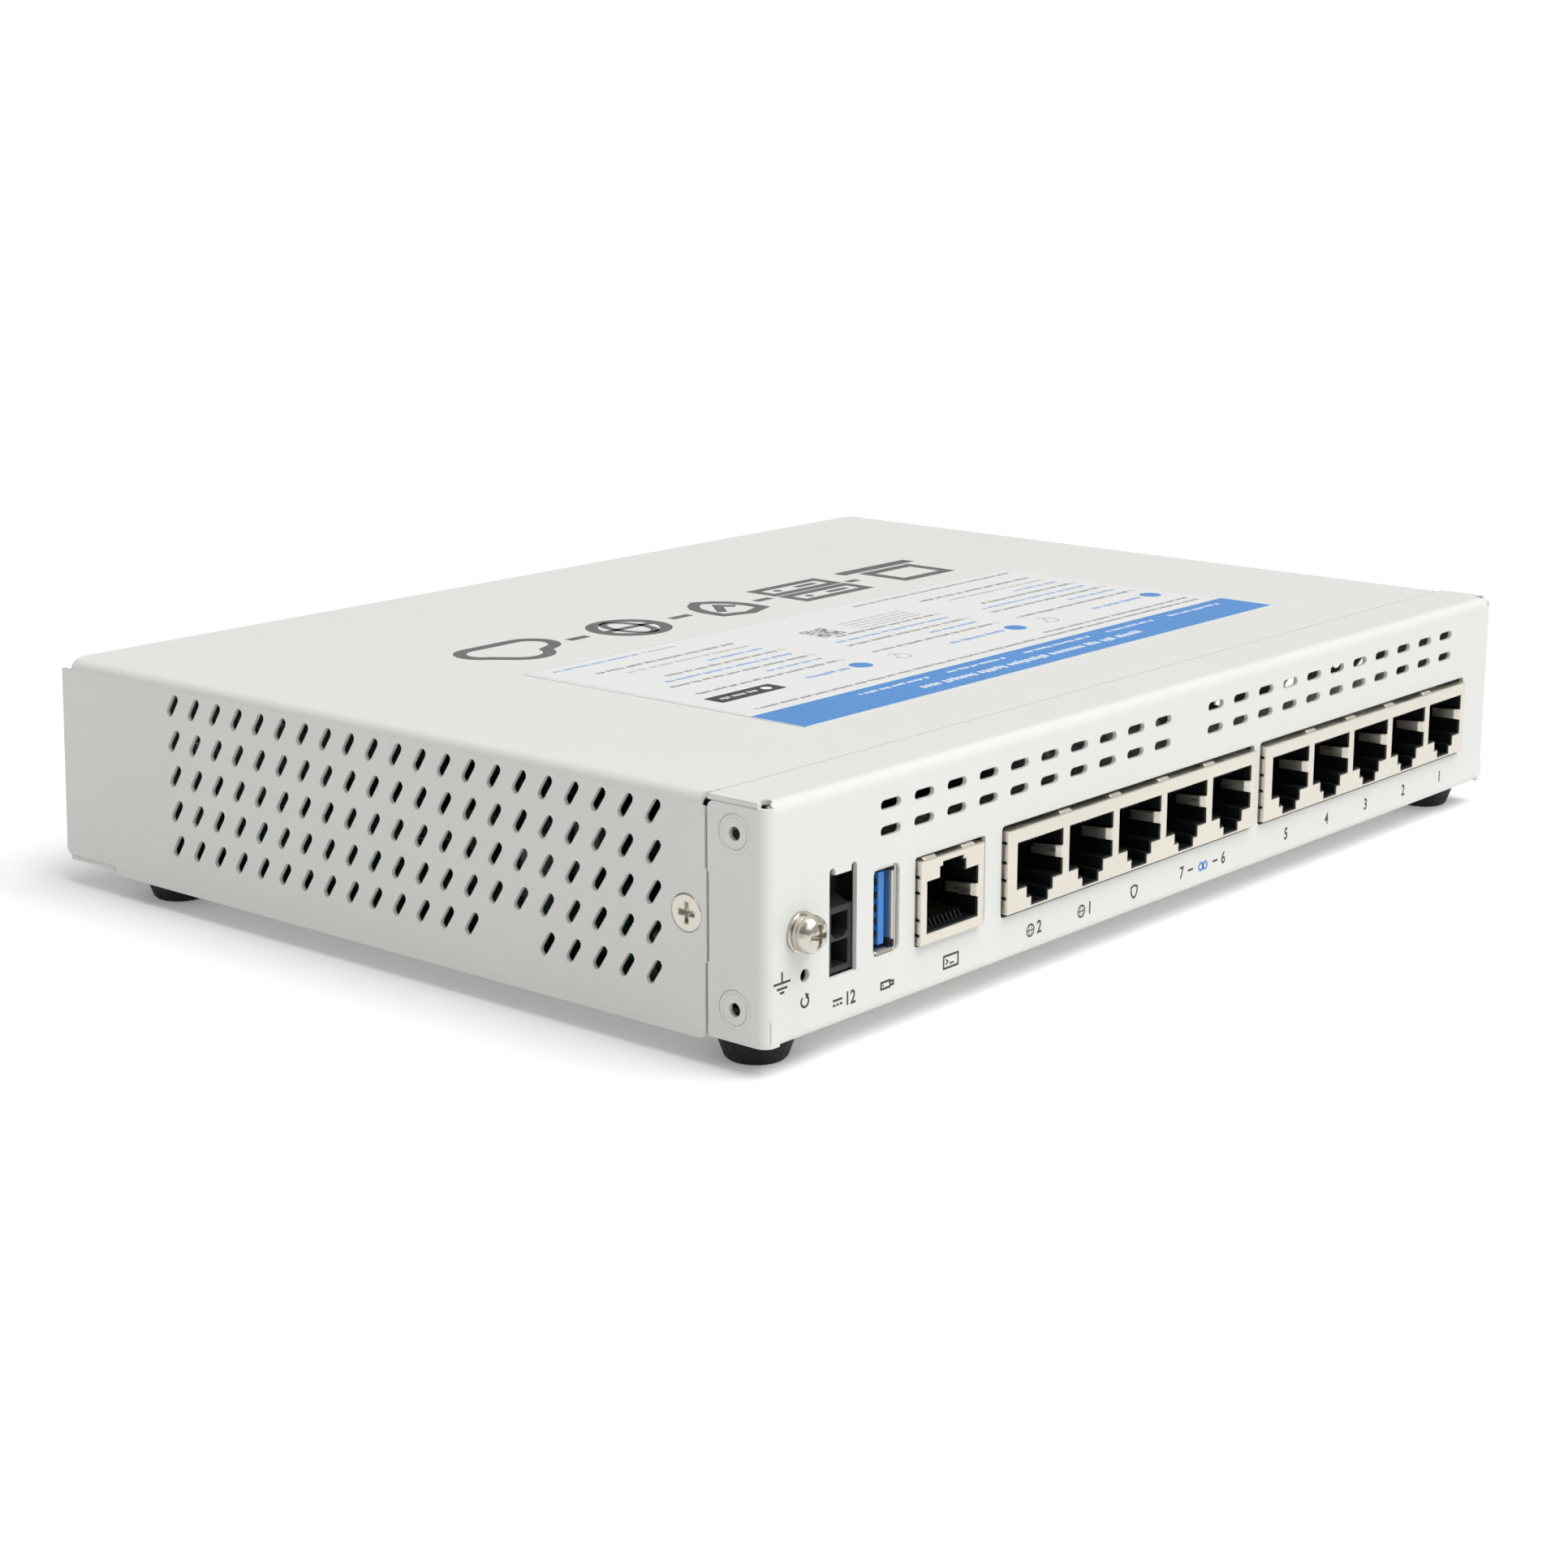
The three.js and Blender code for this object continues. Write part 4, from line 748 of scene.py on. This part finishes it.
def symbol_ground(ink, u, v, w):
    ink.bar(u - w / 2, v + 1.6, u + w / 2, v + 3.1)
    ink.bar(u - 1.82, v + 1.32, u + 1.82, v + 1.32 + w)
    ink.bar(u - 1.15, v + 0.52, u + 1.15, v + 0.52 + w)
    ink.bar(u - 0.5, v - 0.12, u + 0.5, v - 0.12 + w)


def symbol_restart(ink, u, v, w):
    ink.ring(u, v, 0.82, w, -230, 60)
    ink.patch([(u + 0.05, v + 1.25), (u + 0.95, v + 0.95), (u + 0.3, v + 0.28)])


def symbol_direct_current(ink, u, v, w):
    ink.bar(u - 1.1, v + 0.3, u + 1.1, v + 0.3 + w)
    for k in (-1, 0, 1):
        ink.bar(u + k * 0.8 - 0.28, v - 0.42, u + k * 0.8 + 0.28, v - 0.42 + w)


def symbol_store(ink, u, v, w):
    ink.line([(u - 1.5, v - 0.5), (u + 0.6, v - 0.5), (u + 0.6, v + 0.5), (u - 1.5, v + 0.5)],
             w, True)
    ink.line([(u + 0.7, v - 0.28), (u + 1.4, v - 0.28), (u + 1.4, v + 0.28),
              (u + 0.7, v + 0.28)], w)
    ink.disc(u - 1.0, v, 0.16, 12)


def symbol_terminal(ink, u, v, w):
    ink.line([(u - 1.8, v - 0.95), (u + 1.8, v - 0.95), (u + 1.8, v + 0.95),
              (u - 1.8, v + 0.95)], w, True)
    ink.line([(u - 1.25, v + 0.45), (u - 0.7, v + 0.02), (u - 1.25, v - 0.42)], w * 0.75)
    ink.bar(u - 0.3, v - 0.5, u + 0.8, v - 0.5 + w * 0.75)


def symbol_globe(ink, u, v, w):
    ink.ring(u, v, 0.98, w)
    ink.bar(u - 0.98, v - w * 0.35, u + 0.98, v + w * 0.35)
    oval = [(u + 0.44 * math.cos(math.radians(18 * i)), v + 0.98 * math.sin(math.radians(18 * i)))
            for i in range(20)]
    ink.line(oval, w * 0.7, True)


def shield_outline(u, v, s):
    pts = [(0, 1.0), (0.42, 0.86), (0.82, 0.74), (0.82, 0.05), (0.68, -0.42), (0.38, -0.78),
           (0, -1.02), (-0.38, -0.78), (-0.68, -0.42), (-0.82, 0.05), (-0.82, 0.74), (-0.42, 0.86)]
    return [(u + s * a, v + s * b) for a, b in pts]


class APPLIANCE_OT_panel_print(bpy.types.Operator):
    """Symbols and port figures printed on the connector panel"""

    bl_idname = "appliance.panel_print"
    bl_label = "Panel printing"

    def execute(self, context):
        sizes = context.scene.appliance_print
        w = sizes.caption_line / MM
        h = sizes.caption_height / MM
        ink = Ink(panel_place())
        symbol_ground(ink, -103.64, 7.9, w)
        symbol_restart(ink, -98.6, 5.45, w)
        symbol_direct_current(ink, -91.2, 3.4, w)
        ink.figure("12", -88.3, CAPTION_LINE_V, h)
        symbol_store(ink, -79.6, CAPTION_LINE_V, w)
        symbol_terminal(ink, -64.1, CAPTION_LINE_V, w)
        ports = port_centres()
        for centre, figure in zip(ports[:2], "21"):
            symbol_globe(ink, centre - 1.05, 3.5, w * 0.62)
            ink.figure(figure, centre + 1.3, 3.5, h)
        ink.line(shield_outline(ports[2] + 0.1, 3.5, 1.05), w, True)
        ink.figure("7", ports[3] + 0.4, 3.55, h)
        ink.bar(ports[3] + 2.3, 3.45, ports[3] + 3.9, 3.45 + w)
        ink.figure("6", ports[4] - 0.6, 3.55, h)
        ink.bar(ports[4] - 4.0, 3.45, ports[4] - 2.4, 3.45 + w)
        for centre, figure in zip(ports[5:], "54321"):
            ink.figure(figure, centre + 0.75, 3.6, h)
        ink.piece("panel_symbols", finish_named("Dark ink"))
        pair = Ink(panel_place())
        middle = (ports[3] + ports[4]) / 2
        pair.ring(middle - 0.62, 3.5, 0.62, w * 1.15)
        pair.ring(middle + 0.62, 3.5, 0.62, w * 1.15)
        pair.piece("panel_link_symbol", finish_named("Blue ink"))
        return {"FINISHED"}


class APPLIANCE_OT_top_mark(bpy.types.Operator):
    """Printed row on the cover: computer, rack unit, shield, globe and cloud"""

    bl_idname = "appliance.top_mark"
    bl_label = "Top symbols"

    def execute(self, context):
        ink = Ink(top_place(TOP_Z), film=0.03)
        s = context.scene.appliance_print.mark_height / MM / 2
        v, w = -103.6, 2.3
        reach = s - w / 2
        # Shield in the middle.
        ink.line(shield_outline(-2.0, v, reach), w, True)
        ink.line([(-5.0, v + 0.4), (-2.8, v - 2.2), (1.2, v + 2.6)], 1.9)
        # Portable computer, rack unit, globe and cloud on either side.
        ink.line([(-62.2, v + reach), (-48.6, v + reach), (-48.6, v - 2.9), (-62.2, v - 2.9)],
                 w, True)
        ink.bar(-66.6, v - s, -44.2, v - s + 2.9)
        for row in (-1, 1):
            mid = v + row * 4.0
            ink.line([(-36.6, mid - 2.75), (-18.4, mid - 2.75), (-18.4, mid + 2.75),
                      (-36.6, mid + 2.75)], 2.0, True)
            ink.bar(-33.6, mid - 0.7, -27.8, mid + 0.7)
            ink.disc(-22.4, mid, 0.9, 16)
        ink.ring(23.8, v, reach, w, n=44)
        ink.bar(23.8 - reach + 1, v - 0.8, 23.8 + reach - 1, v + 0.8)
        bulge = [(23.8 + 3.2 * math.cos(math.radians(12 * i)),
                  v + (reach - 1) * math.sin(math.radians(12 * i))) for i in range(30)]
        ink.line(bulge, 1.5, True)
        cloud = []
        for cu, cv, r, a0, a1 in ((57.8, v - 2.4, 4.2, -90, 60),
                                  (53.0, v + 1.4, 5.3, 30, 165),
                                  (46.6, v - 2.3, 4.3, 110, 270)):
            for i in range(9):
                a = math.radians(a0 + (a1 - a0) * i / 8)
                cloud.append((cu + r * math.cos(a), cv + r * math.sin(a)))
        ink.line(cloud, w, True)
        for a, b in ((-42.0, -38.9), (-15.6, -11.2), (7.4, 12.6), (34.6, 39.4)):
            ink.bar(a, v - 0.9, b, v + 0.9)
        ink.piece("top_symbols", finish_named("Grey mark"))
        return {"FINISHED"}


class APPLIANCE_OT_top_label(bpy.types.Operator):
    """White sticker with a blue band and rows of small print"""

    bl_idname = "appliance.top_label"
    bl_label = "Top sticker"

    def execute(self, context):
        lo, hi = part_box("top_label")
        x0, x1 = lo.x / MM, hi.x / MM
        d0, d1 = (lo.y - PANEL_Y) / MM, (hi.y - PANEL_Y) / MM
        base = top_place(lo.z)
        thick = (hi.z - lo.z) / MM - 0.02
        sheet = Ink(base, film=thick, sunk=0.0)
        sheet.soft_bar(-x1, -d1, -x0, -d0, 1.2)
        label = sheet.piece("sticker_sheet", finish_named("Label paper"), "label_stock")
        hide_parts("top_label")
        place = top_place(lo.z + thick * MM)
        u0, u1, v1 = -x1, -x0, -d0
        rng = random.Random(11)

        band = Ink(place, film=0.006)
        band.bar(u0 + 0.25, v1 - 11.3, u1 - 0.25, v1 - 0.25)
        outline = Ink(place, film=0.006)
        edge = [(u0 + 1.0, -d1 + 0.5), (u1 - 1.0, -d1 + 0.5), (u1 - 0.6, v1 - 11.3),
                (u0 + 0.6, v1 - 11.3)]
        outline.line([edge[3], edge[0], edge[1], edge[2]], 0.16)
        white = Ink(place, film=0.016, sunk=0.012)
        white.words(-33.0, 32.0, v1 - 4.4, 1.9, rng)
        row = u0 + 6.0
        for n in (17, 15, 20, 16, 18):
            white.disc(row, v1 - 8.6, 0.5, 10)
            white.words(row + 1.3, row + n, v1 - 8.6, 1.05, rng)
            row += n + 5.4

        grey, pale, blue, sky = (Ink(place, film=0.012, sunk=0.012) for _ in range(4))
        grey.words(u0 + 4, u1 - 5, v1 - 14.2, 0.95, rng)
        grey.words(u0 + 4, u0 + 51, v1 - 16.6, 0.95, rng)
        top = v1 - 23.4
        dark = Ink(place, film=0.006)
        dark.soft_bar(u1 - 21.0, top - 2.1, u1 - 5.0, top + 2.2, 0.5)
        dark.piece("sticker_badge", finish_named("Dark ink"))
        white.disc(u1 - 18.2, top, 1.0, 16)
        white.words(u1 - 15.8, u1 - 6.4, top, 1.2, rng)
        columns = [(u0 + 4.0, 39.0), (u0 + 48.0, 38.0), (u0 + 92.5, 39.0)]
        for k, (u, wide) in enumerate(columns):
            blue.disc(u + 2.1, top, 2.1)
            if k < 2:
                sky.words(u + 5.6, u + 22, top, 1.4, rng)
                pale.ring(u + 36, top, 2.0, 0.35, 20, 300)
                pale.line([(u + 34.8, top - 0.4), (u + 35.8, top - 1.3),
                           (u + 37.6, top + 1.2)], 0.3)
            else:
                sky.words(u + 5.6, u + 17.5, top, 1.4, rng)
            v = top - 5.4
            for r in range(8):
                if k == 1 and r > 4:
                    break
                tool = (grey, sky, grey, sky, grey, sky, pale, grey)[r]
                length = (1.0, 0.42, 0.97, 0.92, 0.8, 0.4, 0.86, 0.98)[r] * (wide - 3)
                tool.words(u + 2.0, u + 2.0 + length, v, 1.05, rng)
                if r in (0, 2, 4):
                    pale.ring(u + 0.6, v, 0.6, 0.2, n=14)
                v -= 3.35
        # Square patch of small cells beside a short block of print.
        qu, qv = u0 + 73.5, top - 26.3
        cell = 0.42
        for i in range(15):
            for j in range(15):
                corner = (i < 4 or i > 10) and (j < 4 or j > 10)
                if corner:
                    solid = (i in (0, 3, 11, 14)) or (j in (0, 3, 11, 14))
                else:
                    solid = rng.random() < 0.48
                if solid:
                    grey.bar(qu + i * cell, qv + j * cell, qu + (i + 0.96) * cell,
                             qv + (j + 0.96) * cell)
        for r in range(4):
            pale.words(u0 + 51, u0 + 69, qv + 5.4 - r * 1.7, 0.75, rng)
        grey.words(u0 + 4, u0 + 54, -d1 + 3.6, 0.9, rng)
        pale.words(u1 - 34.5, u1 - 26, -d1 + 3.6, 0.9, rng)
        sky.words(u1 - 25, u1 - 4, -d1 + 3.6, 0.9, rng)
        outline.piece("sticker_outline", finish_named("Pale ink"))
        band.piece("sticker_band", finish_named("Blue ink"))
        white.piece("sticker_white_print", finish_named("White ink"))
        grey.piece("sticker_grey_print", finish_named("Grey ink"))
        pale.piece("sticker_pale_print", finish_named("Pale ink"))
        blue.piece("sticker_icons", finish_named("Blue ink"))
        sky.piece("sticker_blue_print", finish_named("Light blue ink"))
        return {"FINISHED"}


class APPLIANCE_OT_light_print(bpy.types.Operator):
    """Figures and symbols beside the status lights"""

    bl_idname = "appliance.light_print"
    bl_label = "Light-face printing"

    def execute(self, context):
        ink = Ink(face_place())
        w = context.scene.appliance_print.caption_line / MM
        v = 19.6
        for i in range(10):
            ink.figure(str(10 - i), 30 - i * 9, v, 1.7)
        ink.ring(78, v, 0.8, w, 125, 415)
        ink.bar(78 - w / 2, v + 0.2, 78 + w / 2, v + 1.1)
        ink.line([(68.0, v - 0.2), (68.6, v - 0.2), (68.9, v + 0.7), (69.3, v - 0.8),
                  (69.6, v + 0.1), (70.1, v + 0.1)], w)
        ink.line([(59.2, v - 0.7), (60.8, v - 0.7), (60.0, v + 0.8)], w, True)
        ink.line([(34.5, 11.6), (-55.5, 11.6)], 0.2)
        ink.piece("light_face_symbols", finish_named("Dark ink"))
        return {"FINISHED"}


class APPLIANCE_OT_base_label(bpy.types.Operator):
    """Plain rating sticker under the case"""

    bl_idname = "appliance.base_label"
    bl_label = "Base sticker"

    def execute(self, context):
        dress("Label paper", "base_label")
        lo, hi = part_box("base_label")
        x0, x1 = lo.x / MM, hi.x / MM
        d0, d1 = (lo.y - PANEL_Y) / MM, (hi.y - PANEL_Y) / MM
        ink = Ink(under_place(lo.z), film=0.012)
        rng = random.Random(5)
        ink.line([(x0 + 1.5, -d1 + 1.5), (x1 - 1.5, -d1 + 1.5), (x1 - 1.5, -d0 - 1.5),
                  (x0 + 1.5, -d0 - 1.5)], 0.2, True)
        for r in range(5):
            ink.words(x0 + 4, x0 + rng.uniform(22, 30), -d0 - 5 - r * 3.2, 1.0, rng)
        u = x0 + 36
        while u < x1 - 5:
            w = rng.choice((0.25, 0.25, 0.5, 0.75))
            ink.bar(u, -d0 - 14, u + w, -d0 - 5)
            u += w + rng.choice((0.3, 0.3, 0.55))
        ink.words(x0 + 36, x1 - 6, -d0 - 16.2, 0.9, rng)
        ink.piece("base_sticker_print", finish_named("Dark ink"))
        return {"FINISHED"}


class APPLIANCE_OT_stage(bpy.types.Operator):
    """Pale floor, soft light and camera"""

    bl_idname = "appliance.stage"
    bl_label = "Stage"

    def execute(self, context):
        settings = context.scene.appliance_stage
        scene = context.scene
        bm = bmesh.new()
        reach = 40.0
        corners = [(-reach, -reach), (reach, -reach), (reach, reach), (-reach, reach)]
        bm.faces.new([bm.verts.new((x, y, 0)) for x, y in corners])
        mesh = bpy.data.meshes.new("floor")
        bm.to_mesh(mesh)
        bm.free()
        paper = bpy.data.materials.new("Stage paper")
        paper.use_nodes = True
        shader = paper.node_tree.nodes["Principled BSDF"]
        shader.inputs["Base Color"].default_value = (0.8, 0.8, 0.8, 1)
        shader.inputs["Emission Color"].default_value = (1, 1, 1, 1)
        shader.inputs["Emission Strength"].default_value = 0.17
        shader.inputs["Roughness"].default_value = 0.9
        shader.inputs["Specular IOR Level"].default_value = 0.0
        mesh.materials.append(paper)
        floor = bpy.data.objects.new("floor", mesh)
        scene.collection.objects.link(floor)

        sun = bpy.data.lights.new("key", "SUN")
        sun.energy = settings.key_strength
        sun.angle = math.radians(46)
        holder = bpy.data.objects.new("key", sun)
        towards = Vector((0.10, -0.40, 0.915)).normalized()
        holder.rotation_mode = "QUATERNION"
        holder.rotation_quaternion = towards.to_track_quat("Z", "Y")
        scene.collection.objects.link(holder)

        strip = bpy.data.lights.new("strip", "AREA")
        strip.shape = "RECTANGLE"
        strip.size = 0.9
        strip.size_y = 0.35
        strip.energy = 0.9
        strip_holder = bpy.data.objects.new("strip", strip)
        strip_holder.location = (-0.45, -0.95, 0.75)
        strip_holder.rotation_mode = "QUATERNION"
        strip_holder.rotation_quaternion = Vector((-0.45, -0.95, 0.7)).to_track_quat("Z", "Y")
        scene.collection.objects.link(strip_holder)

        world = bpy.data.worlds.new("studio")
        scene.world = world
        world.use_nodes = True
        tree = world.node_tree
        tree.nodes.clear()
        out = _node(tree, "ShaderNodeOutputWorld", 400, 0)
        lit = _node(tree, "ShaderNodeBackground", 0, 100, {"Color": (0.99, 0.995, 1.0, 1)})
        # Brightest overhead and out from the panel, dim towards -X.
        around = _node(tree, "ShaderNodeTexCoord", -700, 100)
        tilt = _node(tree, "ShaderNodeVectorMath", -500, 100, {
            1: (0.42, -0.3, 0.75)}, operation="DOT_PRODUCT")
        ramp = _node(tree, "ShaderNodeMapRange", -300, 100, {
            "From Min": -0.5, "From Max": 0.85, "To Min": 0.16 * settings.sky_strength,
            "To Max": 1.7 * settings.sky_strength})
        tree.links.new(around.outputs["Generated"], tilt.inputs[0])
        tree.links.new(tilt.outputs["Value"], ramp.inputs["Value"])
        tree.links.new(ramp.outputs["Result"], lit.inputs["Strength"])
        seen = _node(tree, "ShaderNodeBackground", 0, -100, {
            "Color": (1, 1, 1, 1), "Strength": 1.1})
        path = _node(tree, "ShaderNodeLightPath", 0, 300)
        mix = _node(tree, "ShaderNodeMixShader", 200, 0)
        tree.links.new(path.outputs["Is Camera Ray"], mix.inputs[0])
        tree.links.new(lit.outputs[0], mix.inputs[1])
        tree.links.new(seen.outputs[0], mix.inputs[2])
        tree.links.new(mix.outputs[0], out.inputs["Surface"])
        scene.view_settings.view_transform = "Standard"

        camera = bpy.data.cameras.new("camera")
        camera.sensor_width = 36.0
        camera.lens = settings.lens
        camera.clip_start = 0.01
        camera.clip_end = 100.0
        camera.dof.use_dof = False
        eye = bpy.data.objects.new("camera", camera)
        eye.location = (-0.41006, -0.33646, 0.14144)
        a, e = math.radians(-49.890), math.radians(13.829)
        back = Vector((math.sin(a) * math.cos(e), -math.cos(a) * math.cos(e), math.sin(e)))
        aim = back.to_track_quat("Z", "Y")
        roll = Matrix.Rotation(math.radians(0.116), 4, "Z")
        eye.matrix_world = Matrix.Translation(eye.location) @ aim.to_matrix().to_4x4() @ roll
        scene.collection.objects.link(eye)
        scene.camera = eye
        return {"FINISHED"}


class APPLIANCE_PT_panel(bpy.types.Panel):
    """Lists the settings and the build steps"""

    bl_idname = "APPLIANCE_PT_panel"
    bl_label = "Appliance"
    bl_space_type = "VIEW_3D"
    bl_region_type = "UI"
    bl_category = "Appliance"

    def draw(self, context):
        layout = self.layout
        for group in ("appliance_finish", "appliance_print", "appliance_stage"):
            settings = getattr(context.scene, group)
            box = layout.box()
            for name in settings.bl_rna.properties.keys():
                if name not in ("rna_type", "name"):
                    box.prop(settings, name)
        for step in STEPS:
            layout.operator(step.bl_idname)


GROUPS = (
    (ApplianceFinish, "appliance_finish"),
    (AppliancePrint, "appliance_print"),
    (ApplianceStage, "appliance_stage"),
)
STEPS = (
    APPLIANCE_OT_stage,
    APPLIANCE_OT_case,
    APPLIANCE_OT_feet,
    APPLIANCE_OT_fasteners,
    APPLIANCE_OT_sockets,
    APPLIANCE_OT_board,
    APPLIANCE_OT_contacts,
    APPLIANCE_OT_storage_springs,
    APPLIANCE_OT_ear_rings,
    APPLIANCE_OT_panel_print,
    APPLIANCE_OT_top_mark,
    APPLIANCE_OT_top_label,
    APPLIANCE_OT_light_print,
    APPLIANCE_OT_base_label,
)


def register():
    for group, name in GROUPS:
        bpy.utils.register_class(group)
        setattr(bpy.types.Scene, name, bpy.props.PointerProperty(type=group))
    for step in STEPS:
        bpy.utils.register_class(step)
    bpy.utils.register_class(APPLIANCE_PT_panel)


def unregister():
    bpy.utils.unregister_class(APPLIANCE_PT_panel)
    for step in reversed(STEPS):
        bpy.utils.unregister_class(step)
    for group, name in reversed(GROUPS):
        delattr(bpy.types.Scene, name)
        bpy.utils.unregister_class(group)


def main():
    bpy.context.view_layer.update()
    for name in list(bpy.data.objects.keys()):
        if name in ("Cube", "Light", "Camera"):
            bpy.data.objects.remove(bpy.data.objects[name])
    register()
    for step in STEPS:
        category, name = step.bl_idname.split(".")
        getattr(getattr(bpy.ops, category), name)()
    bpy.context.view_layer.update()


if __name__ == "__main__":
    main()
